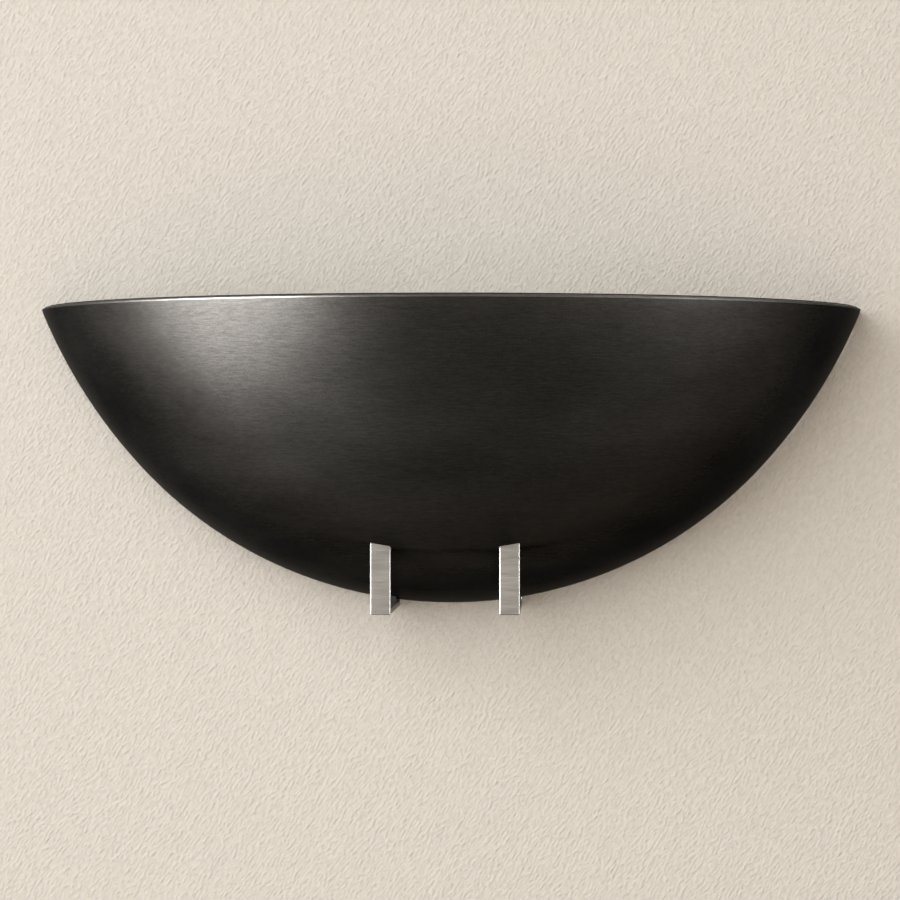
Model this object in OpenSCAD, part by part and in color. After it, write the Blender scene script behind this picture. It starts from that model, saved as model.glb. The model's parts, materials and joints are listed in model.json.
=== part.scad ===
// Half-bowl uplighter wall sconce, millimetres.
// The wall is the plane y = 0, the light stands out along -Y and up is +Z.
// The origin is the middle of the two wall screws, on the wall.
// The spun bowl hooks over two flat straps and is clamped by two thumb nuts;
// a linear halogen lamp lies in a trough reflector under a hinged glass cover.

/* [Bowl] */
// Width of the bowl across its rim
bowl_w = 400; // [385:5:440]
// Depth of the bowl from the rim to its lowest point
bowl_h = 142.5; // [138:0.5:152]
// Radius of the bowl's round bottom, as a share of a plain ball's through its rim and lowest point
bottom_share = 0.975; // [0.96:0.005:1]
// Degrees from the bowl's lowest point to where its flatter side begins
flare_turn = 47; // [40:1:55]
// Thickness of the spun sheet
bowl_t = 1.2; // [0.8:0.1:2]
// Height of the rim above the wall screws
rim_z = 70; // [66:1:78]
// Height of the black stiffening band inside the rim
band_h = 8; // [5:0.5:12]
// Thickness of the stiffening band
band_t = 1.5; // [0.8:0.1:2.5]
// How far the stiffening band stands above the rim
band_proud = 1.4; // [0.8:0.1:2]

/* [Straps] */
// Width of the flat strap
strap_w = 9.5; // [8:0.5:12]
// Thickness of the flat strap
strap_t = 3; // [2:0.5:4]
// Distance of each strap's middle from the light's middle
strap_x = 30; // [26:1:34]
// Distance from the wall to the front face of the straps
strap_reach = 103; // [100:0.5:112]
// How far a strap's end stands up inside the bowl
strap_end = 5.5; // [3:0.5:6]
// Length of the strap's foot on the wall plate
foot_h = 30; // [28:1:34]
// Distance from the foot's end to its first rivet
rivet_edge = 5.5; // [5:0.5:7]
// Distance between a foot's two rivets
rivet_pitch = 10; // [8:0.5:11]
// Radius of the strap rivets
rivet_r = 2; // [1.5:0.25:2.5]
// Length of the rubber pad under the bowl
pad_len = 22; // [14:1:30]
// Distance from the wall to the pad
pad_back = 12; // [8:1:18]

/* [Wall plate] */
// Width of the wall plate
plate_w = 224; // [216:2:232]
// Thickness of the wall plate
plate_t = 1.5; // [1.2:0.1:2]
// Top edge of the wall plate above the wall screws
plate_top = 44; // [40:1:48]
// Lower edge of the wide part of the plate below the wall screws
plate_low = 30; // [28:1:34]
// Corner radius of the wall plate
plate_corner = 6; // [3:1:8]
// Distance between the two wall screws
fix_spacing = 176; // [172:2:184]
// Width of the wall-screw slots
fix_slot_w = 5; // [4:0.5:6]
// Length of the wall-screw slots
fix_slot_l = 12; // [8:1:14]

/* [Bowl clamp] */
// Radius of the hanging studs
stud_r = 2.5; // [2:0.5:3]
// How far the hanging studs stand out of the plate
stud_len = 15; // [13:1:18]
// Distance of each stud from the light's middle
stud_x = 100; // [98:1:103]
// Height of the studs above the wall screws
stud_z = 33; // [31:1:34]
// Height of the middle of the rear bar above the wall screws
bar_z = 35; // [33:1:37]
// Height of the rear bar
bar_h = 20; // [18:1:22]
// Thickness of the rear bar
bar_t = 2; // [1.5:0.5:2.5]
// Length of the bar's bent ends along the bowl
bar_tab = 14; // [8:1:20]
// Outer radius of the knurled thumb nut
thumb_r = 8; // [7:0.5:9]
// Length of the knurled thumb nut
thumb_len = 9; // [8:0.5:10]
// Outer radius of the nut's washer
washer_r = 7; // [6:0.5:8]
// Thickness of the nut's washer
washer_t = 1; // [0.8:0.1:1.5]
// Number of grooves in the knurl
knurls = 20; // [14:1:28]

/* [Lamp carrier and reflector] */
// Width of the lamp carrier
carrier_w = 60; // [56:1:64]
// Thickness of the carrier's sheet
carrier_t = 1.5; // [1.2:0.1:1.8]
// Height of the carrier's flange on the wall plate
carrier_flange = 20; // [16:1:21]
// Distance from the wall to the lamp
lamp_out = 58; // [57:0.5:62]
// How far the carrier's shelf runs past the lamp
carrier_past = 14; // [10:1:18]
// Distance from the carrier's sides to its two screws
carrier_screw_in = 12; // [8:1:14]
// Distance from the carrier's sides to the reflector's rivets
refl_rivet_in = 10; // [8:1:14]
// Size of the stiffening gussets at the carrier's sides
gusset = 16; // [10:1:19]
// Height of the lamp above the carrier's shelf
lamp_rise = 15; // [14:0.5:17]
// Length inside the reflector
refl_l = 124; // [122.5:0.5:126]
// Width inside the reflector
refl_w = 70; // [66:1:72]
// Depth inside the reflector
refl_d = 41.2; // [40:0.2:43]
// Radius of the reflector's lower corners
refl_corner = 23; // [16:1:26]
// Thickness of the reflector's sheet
refl_t = 0.8; // [0.6:0.1:1]
// Width of the reflector's flange
refl_lip = 5; // [4:0.25:5.5]

/* [Lamp] */
// Overall length of the lamp
lamp_l = 117.6; // [116.6:0.2:118.6]
// Radius of the quartz tube
tube_r = 5.5; // [4.5:0.5:6]
// Wall of the quartz tube
tube_wall = 1.1; // [0.8:0.1:1.4]
// Length of the tube's pinched neck between its round part and the cap
tube_neck = 5; // [3:0.5:7]
// Distance from the ends of the tube's round part to the filament coil
coil_in = 8; // [5:0.5:12]
// Radius of the lamp's ceramic caps
cap_r = 4; // [3.5:0.25:4.5]
// Length of the lamp's ceramic caps
cap_l = 9.8; // [8:0.2:12]
// Depth of the contact recess in each cap
cap_recess = 1.7; // [1.2:0.1:2]
// Radius of the filament coil
coil_r = 0.6; // [0.4:0.1:1]

/* [Lampholders] */
// Length of each ceramic lampholder
holder_l = 15; // [13.5:0.5:17]
// Width of each ceramic lampholder
holder_w = 18; // [16:1:20]
// Height of each ceramic lampholder
holder_h = 24; // [23:1:26]
// Half the distance between a lampholder's two screws
holder_screw = 9; // [8:0.25:9.5]
// Radius of the contact pins
contact_r = 1.9; // [1.5:0.1:2.2]
// Travel of the sprung contact
contact_travel = 3; // [2:0.5:4]

/* [Glass cover] */
// Thickness of the safety glass
glass_t = 3; // [3:0.5:4]
// Thickness of the cover frame's sheet
frame_t = 1.2; // [1:0.1:1.5]
// Width of the frame's lip over the glass
frame_lip = 4; // [3:0.5:6]
// Thickness of the silicone seal
seal_t = 1.2; // [1:0.1:1.5]
// Distance of the hinge pins behind the frame
hinge_back = 4; // [3.8:0.1:4.4]
// Distance of each hinge from the light's middle
hinge_x = 46; // [40:1:48]
// Width of each hinge knuckle
knuckle_w = 8; // [6:0.5:10]
// Radius of the hinge pins
hinge_pin_r = 1.5; // [1:0.25:1.75]

/* [Wiring] */
// Radius of the cable hole through the grommet
cable_r = 5; // [4:0.25:5.5]
// Distance of the cable hole from the light's middle
cable_x = 14; // [13:0.5:16]
// Distance of the wiring parts below the wall screws
wiring_low = 14; // [13.5:0.25:15]
// Distance from the cable hole to the cable clamp
clamp_off = 18; // [16:0.5:20]
// Distance from the cable hole to the earth stud
earth_off = 26; // [24:1:28]
// Distance between the poles of the terminal block
pole_pitch = 10; // [9:0.5:11]
// Number of poles of the terminal block
poles = 3; // [2:1:3]
// Radius of the leads' sleeves
lead_r = 1.5; // [1:0.25:2]

/* [Hidden] */
$fn = 48;
ball_fn = 240;
big = 400;

// Clearances
weld_gap = 0.02;      // between two pieces welded to each other
spun_gap = 0.06;      // between the bowl and what is welded inside it
rest_gap = 0.3;       // between a piece that lifts off or turns and what it rests on
pin_gap = 0.05;       // round a turning pin or thread
hole_gap = 0.3;       // round a screw in a plain hole
plate_clear = 4;      // from the plate's edges to the bowl's inside
strap_side_gap = 0.4; // beside a strap in its slot
strap_front_gap = 1.2;// in front of a strap in its slot
strap_rear_gap = 0.6; // behind a strap in its slot
leg_gap = 0.4;        // between a strap's level leg and the bowl above it
notch_gap = 0.5;      // round a hanging stud in the bar's notch
holder_hole_gap = 0.15; // round a lampholder's screws and a terminal's screws
recess_gap = 0.6;     // round the contact in the lamp cap's recess

// A screw's head, in times the screw's radius
head_wide = 1.7;
head_high = 1.05;

// Bowl: a ball at the bottom and a flatter arc from there to the rim, cut in half at the wall
rim_r = bowl_w / 2;
ball_r = bottom_share * (rim_r * rim_r + bowl_h * bowl_h) / (2 * bowl_h);
ball_z = rim_z + ball_r - bowl_h;
flare_way = [sin(flare_turn), -cos(flare_turn)];
flare_start = [0, ball_z] + ball_r * flare_way;
flare_run = [rim_r, rim_z] - flare_start;
flare_r = -(flare_run * flare_run) / (2 * flare_run * flare_way);
flare_middle = flare_start - flare_r * flare_way;
back_gap = plate_t + rest_gap;

function depth_z(r, ball) = ball_z - sqrt(ball * ball - r * r);

// Straps
leg_top = depth_z(strap_x - strap_w / 2, ball_r) - leg_gap;
leg_low = leg_top - strap_t;
strap_top = depth_z(norm([strap_x, strap_reach]), ball_r) + strap_end;
foot_top = leg_top + foot_h;
rivet_z = [foot_top - rivet_edge, foot_top - rivet_edge - rivet_pitch];
countersink = 1.5;
pad_w = strap_w - 1;

// Wall plate
tab_w = 2 * strap_x + strap_w + 6;
tab_low = depth_z(tab_w / 2, ball_r - bowl_t) + plate_clear;
fix_x = fix_spacing / 2;

// Bowl clamp, in distances from the wall
bar_front = back_gap + bar_t;
washer_out = bar_front + rest_gap;
thumb_out = washer_out + washer_t + weld_gap;
thumb_foot = 1.5;
stud_chamfer = 0.8;
tab_h = bar_h - 4;
groove_r = 0.9;

// Reflector and lamp
carrier_out = lamp_out + carrier_past;
refl_outer_w = refl_w + 2 * refl_t;
refl_outer_l = refl_l + 2 * refl_t;
refl_top = refl_t + refl_d;
lip_l = refl_outer_l + 2 * refl_lip;
lip_w = refl_outer_w + 2 * refl_lip;
carrier_screw_x = carrier_w / 2 - carrier_screw_in;
carrier_screw_z = carrier_flange / 2 + 1;
carrier_screw_r = 2;
refl_rivet_x = carrier_w / 2 - refl_rivet_in;
refl_rivet_r = 1.6;
rivet_head_r = 2.8;
rivet_head_h = 0.9;
wire_hole_r = 4.5;
contact_x = lamp_l / 2 - cap_recess;
inner_lead_r = 0.4;
neck_r = cap_r - 1.4;
tube_l = lamp_l - 2 * (cap_l + tube_neck);
coil_l = tube_l - 2 * coil_in;
holder_in = refl_outer_l / 2;
holder_out = holder_in + holder_l;
holder_screw_r = 1.5;
holder_head_r = 2.6;
holder_head_h = 0.8;
holder_nut_flats = 5.5;
holder_nut_h = 2.4;
collar_r = contact_r + 0.9;
collar_l = 1.5;
throat = 2.7;
spring_solid = 4;
spring_wire = 0.7;
chamber_r = collar_r + hole_gap;
chamber_end = holder_in + throat + rest_gap + collar_l + contact_travel + spring_solid;

// Glass cover, from the reflector's flange upwards
clip_t = 0.5;
clip_low = refl_top + rest_gap;
seal_low = clip_low + clip_t;
glass_low = seal_low + seal_t;
glass_top = glass_low + glass_t;
cover_top = glass_top + frame_t;
frame_over = 0.7;
frame_l = lip_l + 2 * frame_over;
frame_w = lip_w + 2 * frame_over;
frame_in_l = frame_l - 2 * frame_t;
frame_in_w = frame_w - 2 * frame_t;
seal_side = 1;
glass_l = frame_in_l - 2 * seal_side;
glass_w = frame_in_w - 2 * seal_side;
hinge_out = lamp_out - frame_w / 2 - hinge_back;
hinge_z = clip_low + (cover_top - clip_low) / 2;
knuckle_r = hinge_pin_r + 1.4;
ear_t = 1.5;
ear_r = knuckle_r + 0.3;
ear_x = hinge_x + knuckle_w / 2 + rest_gap;
bracket_t = 1.5;
bracket_l = 2 * (ear_x + ear_t) + 8;
bracket_top = refl_top - refl_t;

// Wiring
wiring_z = -wiring_low;
grommet_neck = 1.5;
grommet_flange = 3.5;
grommet_t = 1.5;
clamp_x = cable_x - clamp_off;
clamp_w = 8;
clamp_in = 3.5;
clamp_t = 1.2;
clamp_foot = 5;
clamp_screw_z = clamp_in + clamp_t + clamp_foot / 2;
block_l = pole_pitch * poles;
block_right = clamp_x - clamp_w / 2 - 6;
block_h = 15;
block_out = 15.5;
block_mid = block_right - block_l / 2;
block_seat = 4;
pole_screw_z = 4;
pole_screw_r = 1.15;
pole_hole_r = pole_screw_r * head_wide + holder_hole_gap;
pole_hole_l = 6;
pole_screw_l = 3;
earth_x = cable_x + earth_off;
earth_r = 2;
earth_l = 9;
earth_flats = 7;
earth_nut_h = 3;
earth_washer_r = 4.5;
earth_washer_t = 0.8;
earth_tag_t = 0.8;
tag_r = 4;
tag_neck = 2.4;
barrel_r = lead_r + 0.4;
barrel_l = 5;
barrel_out = plate_t + barrel_r + weld_gap;
barrel_start = earth_x - tag_r - barrel_l - 1.5;
small_screw_r = 1.5;

// Routes of the three leads inside the bowl
live_route = [
    [block_right - block_l, -10, wiring_z], [block_right - block_l - 4, -10, wiring_z],
    [block_right - block_l - 8, -10, wiring_z], [-64, -20, -9], [-78, -38, 0], [-86, -50, 9],
    [-88, -lamp_out, lamp_rise], [-holder_out - 4, -lamp_out, lamp_rise],
    [-holder_out, -lamp_out, lamp_rise]
];
neutral_route = [
    [block_right, -12, wiring_z], [block_right + 2, -12, wiring_z],
    [block_right + 4, -12, wiring_z], [4, -24, -10], [28, -30, -9], [54, -36, -7], [76, -44, 1],
    [87, -52, 9], [89, -lamp_out, lamp_rise], [holder_out + 4, -lamp_out, lamp_rise],
    [holder_out, -lamp_out, lamp_rise]
];
earth_route = [
    [block_right, -8, wiring_z - 4], [block_right + 3, -8, wiring_z - 4],
    [block_right + 6, -8, wiring_z - 4], [0, -9.5, -23.5], [12, -9, -25.5], [20, -6.5, -21],
    [barrel_start - 4, -barrel_out, wiring_z], [barrel_start - 2, -barrel_out, wiring_z],
    [barrel_start, -barrel_out, wiring_z]
];

dark_bronze = [0.16, 0.14, 0.12];
rim_black = [0.03, 0.03, 0.03];
nickel = [0.62, 0.60, 0.56];
zinc = [0.72, 0.73, 0.74];
bright_aluminium = [0.86, 0.87, 0.88];
ceramic = [0.92, 0.90, 0.85];
rubber_black = [0.06, 0.06, 0.06];
quartz = [0.85, 0.90, 0.92, 0.4];
brass = [0.80, 0.65, 0.35];

// ---- Helpers ----

// Puts a shape on the wall: its z becomes the distance from the wall.
module off_wall(x, z) {
    translate([x, 0, z]) rotate([90, 0, 0]) children();
}

// Turns a shape drawn in (y, z) along X, from x0 to x1.
module along_x(x0, x1) {
    translate([x0, 0, 0]) rotate([90, 0, 90]) linear_extrude(x1 - x0) children();
}

// Lays a shape with its axis along X, starting at x0 on the lamp's axis.
module on_lamp_axis(x0) {
    translate([x0, -lamp_out, lamp_rise]) rotate([0, 90, 0]) children();
}

module round_rect(w, h, r) {
    translate([-w / 2 + r, -h / 2]) square([w - 2 * r, h]);
    translate([-w / 2, -h / 2 + r]) square([w, h - 2 * r]);
    for (sx = [-1, 1], sy = [-1, 1]) {
        translate([sx * (w / 2 - r), sy * (h / 2 - r)]) circle(r);
    }
}

module ring(l, w, lip, h) {
    linear_extrude(h) difference() {
        square([l, w], center = true);
        square([l - 2 * lip, w - 2 * lip], center = true);
    }
}

// A screw along Z with a slotted cheese head whose underside is at z = 0.
module screw(r, length) {
    head_r = r * head_wide;
    head_h = r * head_high;
    slot = head_r / 3.5;
    difference() {
        union() {
            translate([0, 0, -length]) cylinder(r = r, h = length);
            cylinder(r = head_r, h = head_h);
        }
        translate([-head_r, -slot / 2, head_h / 2]) cube([2 * head_r, slot, head_h]);
    }
}

module washer(r_out, r_in, h) {
    difference() {
        cylinder(r = r_out, h = h);
        translate([0, 0, -1]) cylinder(r = r_in, h = h + 2);
    }
}

module hex_nut(r_in, flats, h) {
    difference() {
        cylinder(d = flats / cos(30), h = h, $fn = 6);
        translate([0, 0, -1]) cylinder(r = r_in, h = h + 2);
    }
}

// ---- A round lead swept along a smooth curve through its route's points ----

function curve_point(a, b, c, d, t) =
    0.5 * (2 * b + (c - a) * t + (2 * a - 5 * b + 4 * c - d) * t * t
    + (3 * b - a - 3 * c + d) * t * t * t);
function route_point(p, i) = p[max(0, min(len(p) - 1, i))];
function smooth_route(p, steps) = [
    for (i = [0:len(p) - 2], s = [0:steps - 1])
        curve_point(route_point(p, i - 1), p[i], p[i + 1], route_point(p, i + 2), s / steps),
    p[len(p) - 1]
];
function unit(v) = v / norm(v);
function route_way(q, i) = unit(route_point(q, i + 1) - route_point(q, i - 1));
function ring_point(q, i, r, turn) =
    let (way = route_way(q, i), side = unit(cross(way, [0.2, 0.35, 1])), up = cross(side, way))
    q[i] + r * (cos(turn) * side + sin(turn) * up);

module lead(route, r) {
    sides = 10;
    steps = 5;
    q = smooth_route(route, steps);
    n = len(q);
    points = [for (i = [0:n - 1], k = [0:sides - 1]) ring_point(q, i, r, 360 * k / sides)];
    walls = [for (i = [0:n - 2], k = [0:sides - 1], half = [0, 1])
        let (a = i * sides + k, b = i * sides + (k + 1) % sides)
        half == 0 ? [a, a + sides, b] : [b, a + sides, b + sides]];
    start = [for (k = [0:sides - 1]) k];
    finish = [for (k = [0:sides - 1]) n * sides - 1 - k];
    polyhedron(points = points, faces = concat(walls, [start, finish]), convexity = 4);
}

// ---- Wall bracket ----

module slot_hole(x) {
    run = (fix_slot_l - fix_slot_w) / 2;
    translate([x - run, -fix_slot_w / 2]) square([2 * run, fix_slot_w]);
    for (s = [-1, 1]) translate([x + s * run, 0]) circle(fix_slot_w / 2);
}

module plate_outline() {
    translate([0, (plate_top - plate_low) / 2]) {
        round_rect(plate_w, plate_top + plate_low, plate_corner);
    }
    translate([0, (tab_low - plate_low) / 2 + plate_corner / 2]) {
        round_rect(tab_w, -tab_low - plate_low + plate_corner, plate_corner / 2);
    }
}

module wall_plate() {
    color(zinc) rotate([90, 0, 0]) linear_extrude(plate_t) difference() {
        plate_outline();
        for (side = [-1, 1]) {
            slot_hole(side * fix_x);
            translate([side * carrier_screw_x, carrier_screw_z]) circle(carrier_screw_r);
            for (z = rivet_z) translate([side * strap_x, z]) circle(rivet_r);
            translate([clamp_x, wiring_z + side * clamp_screw_z]) circle(small_screw_r);
        }
        translate([cable_x, wiring_z]) circle(cable_r + grommet_neck);
        translate([block_mid - pole_pitch / 2, wiring_z]) circle(small_screw_r);
        translate([earth_x, wiring_z]) circle(earth_r);
    }
}

module hanging_studs() {
    color(zinc) for (side = [-1, 1]) off_wall(side * stud_x, stud_z) {
        translate([0, 0, plate_t]) cylinder(r = stud_r, h = stud_len - stud_chamfer);
        translate([0, 0, plate_t + stud_len - stud_chamfer]) {
            cylinder(r1 = stud_r, r2 = stud_r - stud_chamfer, h = stud_chamfer);
        }
    }
}

module strap(side) {
    difference() {
        translate([side * strap_x - strap_w / 2, 0, leg_low]) {
            translate([0, -plate_t - strap_t, 0]) cube([strap_w, strap_t, strap_t + foot_h]);
            translate([0, -strap_reach, 0]) cube([strap_w, strap_reach - plate_t, strap_t]);
            translate([0, -strap_reach, 0]) cube([strap_w, strap_t, strap_top - leg_low]);
        }
        for (z = rivet_z) off_wall(side * strap_x, z) strap_rivet(plate_t + strap_t);
    }
}

module strap_left() {
    color(nickel) strap(-1);
}

module strap_right() {
    color(nickel) strap(1);
}

module strap_rivet(length) {
    cylinder(r = rivet_r, h = length);
    translate([0, 0, length - countersink]) {
        cylinder(r1 = rivet_r, r2 = rivet_r + countersink, h = countersink);
    }
}

module strap_rivets() {
    color(nickel) for (side = [-1, 1], z = rivet_z) {
        off_wall(side * strap_x, z) strap_rivet(plate_t + strap_t);
    }
}

module strap_pads() {
    color(rubber_black) for (side = [-1, 1]) difference() {
        translate([side * strap_x - pad_w / 2, -pad_back - pad_len, leg_top]) {
            cube([pad_w, pad_len, leg_gap + strap_t + plate_clear]);
        }
        bowl_form(-rest_gap);
    }
}

// ---- Wiring parts on the wall plate ----

module cable_grommet() {
    color(rubber_black) off_wall(cable_x, wiring_z) difference() {
        union() {
            cylinder(r = cable_r + grommet_neck, h = plate_t);
            translate([0, 0, plate_t]) cylinder(r = cable_r + grommet_flange, h = grommet_t);
        }
        translate([0, 0, -1]) cylinder(r = cable_r, h = plate_t + grommet_t + 2);
    }
}

module cable_clamp() {
    reach = clamp_in + clamp_t + clamp_foot;
    color(zinc) translate([0, -plate_t, wiring_z]) difference() {
        along_x(clamp_x - clamp_w / 2, clamp_x + clamp_w / 2) difference() {
            union() {
                translate([-clamp_t, -reach]) square([clamp_t, 2 * reach]);
                circle(clamp_in + clamp_t);
            }
            circle(clamp_in);
            translate([0, -big / 2]) square([big, big]);
        }
        for (s = [-1, 1]) translate([clamp_x, 1, s * clamp_screw_z]) rotate([90, 0, 0]) {
            cylinder(r = small_screw_r + hole_gap, h = clamp_t + 2);
        }
    }
}

module cable_clamp_screws() {
    color(zinc) for (s = [-1, 1]) off_wall(clamp_x, wiring_z + s * clamp_screw_z) {
        translate([0, 0, plate_t + clamp_t]) screw(small_screw_r, plate_t + clamp_t);
    }
}

module terminal_block() {
    color(ceramic) difference() {
        translate([block_right - block_l, -plate_t - block_out, wiring_z - block_h / 2]) {
            cube([block_l, block_out, block_h]);
        }
        for (i = [0:poles - 1], s = [-1, 1]) {
            off_wall(block_right - (i + 0.5) * pole_pitch, wiring_z + s * pole_screw_z) {
                translate([0, 0, plate_t + block_out - pole_hole_l]) {
                    cylinder(r = pole_hole_r, h = pole_hole_l + 1);
                }
            }
        }
        off_wall(block_mid - pole_pitch / 2, wiring_z) {
            cylinder(r = small_screw_r + hole_gap, h = plate_t + block_out + 1);
            translate([0, 0, plate_t + block_seat]) {
                cylinder(r = small_screw_r * head_wide + hole_gap, h = block_out);
            }
        }
    }
}

module terminal_screws() {
    color(brass) for (i = [0:poles - 1], s = [-1, 1]) {
        off_wall(block_right - (i + 0.5) * pole_pitch, wiring_z + s * pole_screw_z) {
            translate([0, 0, plate_t + block_out - pole_screw_l]) screw(pole_screw_r, pole_screw_l);
        }
    }
}

module terminal_block_screw() {
    color(zinc) off_wall(block_mid - pole_pitch / 2, wiring_z) {
        translate([0, 0, plate_t + block_seat]) screw(small_screw_r, plate_t + block_seat);
    }
}

module earth_stud() {
    color(brass) off_wall(earth_x, wiring_z) cylinder(r = earth_r, h = plate_t + earth_l);
}

module earth_washer() {
    color(zinc) off_wall(earth_x, wiring_z) {
        translate([0, 0, plate_t]) washer(earth_washer_r, earth_r + pin_gap, earth_washer_t);
    }
}

// Ring tag crimped to the earth lead.
module earth_tag() {
    color(brass) off_wall(earth_x, wiring_z) difference() {
        union() {
            translate([0, 0, plate_t + earth_washer_t]) {
                cylinder(r = tag_r, h = earth_tag_t);
                translate([-tag_r - 2, -tag_neck / 2, 0]) cube([tag_r, tag_neck, earth_tag_t]);
            }
            translate([barrel_start - earth_x, 0, barrel_out]) rotate([0, 90, 0]) {
                cylinder(r = barrel_r, h = barrel_l);
            }
        }
        cylinder(r = earth_r + pin_gap, h = plate_t + earth_l);
    }
}

module earth_nut() {
    color(brass) off_wall(earth_x, wiring_z) {
        translate([0, 0, plate_t + earth_washer_t + earth_tag_t]) {
            hex_nut(earth_r, earth_flats, earth_nut_h);
        }
    }
}

// ---- Lamp carrier and reflector ----

module lamp_carrier() {
    color(zinc) difference() {
        union() {
            translate([-carrier_w / 2, -plate_t - carrier_t, -carrier_t]) {
                cube([carrier_w, carrier_t, carrier_t + carrier_flange]);
            }
            translate([-carrier_w / 2, -carrier_out, -carrier_t]) {
                cube([carrier_w, carrier_out - plate_t, carrier_t]);
            }
            for (x = [-carrier_w / 2, carrier_w / 2 - carrier_t]) along_x(x, x + carrier_t) {
                polygon([[-plate_t - 0.5, -0.5], [-plate_t - gusset, -0.5],
                    [-plate_t - gusset, 0], [-plate_t - carrier_t, gusset], [-plate_t - 0.5, gusset]]);
            }
        }
        for (s = [-1, 1]) {
            off_wall(s * carrier_screw_x, carrier_screw_z) {
                cylinder(r = carrier_screw_r + hole_gap, h = plate_t + carrier_t + 1);
            }
            translate([s * refl_rivet_x, -lamp_out, -carrier_t - 1]) {
                cylinder(r = refl_rivet_r, h = carrier_t + 2);
            }
        }
    }
}

module carrier_screws() {
    color(zinc) for (s = [-1, 1]) off_wall(s * carrier_screw_x, carrier_screw_z) {
        translate([0, 0, plate_t + carrier_t]) screw(carrier_screw_r, plate_t + carrier_t);
    }
}

// Section of the trough, drawn in (y, z) with its floor's middle at the origin.
module trough_section(w, d, r) {
    translate([-w / 2, r]) square([w, d - r]);
    translate([-w / 2 + r, 0]) square([w - 2 * r, d]);
    for (s = [-1, 1]) intersection() {
        translate([s * (w / 2 - r), r]) circle(r, $fn = 96);
        translate([-w / 2, 0]) square([w, r]);
    }
}

module reflector() {
    color(bright_aluminium) difference() {
        translate([0, -lamp_out, 0]) {
            along_x(-refl_outer_l / 2, refl_outer_l / 2) {
                trough_section(refl_outer_w, refl_top, refl_corner + refl_t);
            }
            translate([0, 0, refl_top - refl_t]) linear_extrude(refl_t) {
                square([lip_l, lip_w], center = true);
            }
        }
        translate([0, -lamp_out, refl_t]) along_x(-refl_l / 2, refl_l / 2) {
            trough_section(refl_w, refl_d + 1, refl_corner);
        }
        on_lamp_axis(-refl_outer_l / 2 - 1) {
            cylinder(r = wire_hole_r, h = refl_outer_l + 2);
            for (s = [-1, 1]) translate([s * holder_screw, 0, 0]) {
                cylinder(r = holder_screw_r, h = refl_outer_l + 2);
            }
        }
        for (s = [-1, 1]) translate([s * refl_rivet_x, -lamp_out, -1]) {
            cylinder(r = refl_rivet_r, h = refl_t + 2);
        }
    }
}

module reflector_rivets() {
    color(bright_aluminium) for (s = [-1, 1]) translate([s * refl_rivet_x, -lamp_out, 0]) {
        translate([0, 0, -carrier_t]) cylinder(r = refl_rivet_r, h = carrier_t + refl_t);
        translate([0, 0, refl_t]) {
            cylinder(r1 = rivet_head_r, r2 = refl_rivet_r, h = rivet_head_h);
        }
        translate([0, 0, -carrier_t - rivet_head_h]) {
            cylinder(r1 = refl_rivet_r, r2 = rivet_head_r, h = rivet_head_h);
        }
    }
}

module hinge_bracket() {
    strip_back = hinge_out - ear_r;
    color(zinc) difference() {
        union() {
            translate([-bracket_l / 2, -lamp_out + refl_outer_w / 2, bracket_top - bracket_t]) {
                cube([bracket_l, lamp_out - refl_outer_w / 2 - strip_back, bracket_t]);
            }
            for (s = [-1, 1]) {
                x = s > 0 ? ear_x : -ear_x - ear_t;
                along_x(x, x + ear_t) {
                    translate([-hinge_out - ear_r, bracket_top - bracket_t]) {
                        square([2 * ear_r, hinge_z - bracket_top + bracket_t]);
                    }
                    translate([-hinge_out, hinge_z]) circle(ear_r);
                }
            }
        }
        translate([-bracket_l / 2, -hinge_out, hinge_z]) rotate([0, 90, 0]) {
            cylinder(r = hinge_pin_r, h = bracket_l);
        }
    }
}

module hinge_pins() {
    inner = hinge_x - knuckle_w / 2 - 1;
    outer = ear_x + ear_t;
    color(zinc) for (s = [0, 1]) mirror([s, 0, 0]) translate([0, -hinge_out, hinge_z]) {
        rotate([0, 90, 0]) {
            translate([0, 0, inner]) cylinder(r = hinge_pin_r, h = outer - inner);
            translate([0, 0, outer]) cylinder(r = hinge_pin_r + 1, h = 0.9);
        }
    }
}

// ---- Lampholders and contacts, drawn on the right and mirrored to the left ----

module holder() {
    difference() {
        translate([holder_in, -lamp_out - holder_w / 2, lamp_rise - holder_h / 2]) {
            cube([holder_l, holder_w, holder_h]);
        }
        on_lamp_axis(holder_in - 1) cylinder(r = contact_r + hole_gap, h = throat + 2);
        on_lamp_axis(holder_in + throat) cylinder(r = chamber_r, h = chamber_end - holder_in - throat);
        for (s = [-1, 1]) on_lamp_axis(holder_in - 1) translate([s * holder_screw, 0, 0]) {
            cylinder(r = holder_screw_r + holder_hole_gap, h = holder_l + 2);
        }
    }
}

module lampholder_right() {
    color(ceramic) holder();
}

module lampholder_left() {
    color(ceramic) mirror([1, 0, 0]) holder();
}

module lampholder_screws() {
    length = refl_t + holder_l + holder_nut_h + holder_screw_r / 2;
    color(zinc) for (m = [0, 1], s = [-1, 1]) mirror([m, 0, 0]) on_lamp_axis(refl_l / 2) {
        translate([s * holder_screw, 0, 0]) {
            translate([0, 0, -holder_head_h]) cylinder(r = holder_head_r, h = holder_head_h);
            cylinder(r = holder_screw_r, h = length);
        }
    }
}

module lampholder_nuts() {
    color(zinc) for (m = [0, 1], s = [-1, 1]) mirror([m, 0, 0]) on_lamp_axis(holder_out) {
        translate([s * holder_screw, 0, 0]) {
            hex_nut(holder_screw_r, holder_nut_flats, holder_nut_h);
        }
    }
}

module contact(gap) {
    collar_x = holder_in + throat + gap;
    on_lamp_axis(contact_x + gap) cylinder(r = contact_r, h = collar_x - contact_x - gap);
    on_lamp_axis(collar_x) cylinder(r = collar_r, h = collar_l);
}

module contact_right() {
    color(brass) contact(rest_gap);
}

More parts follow.
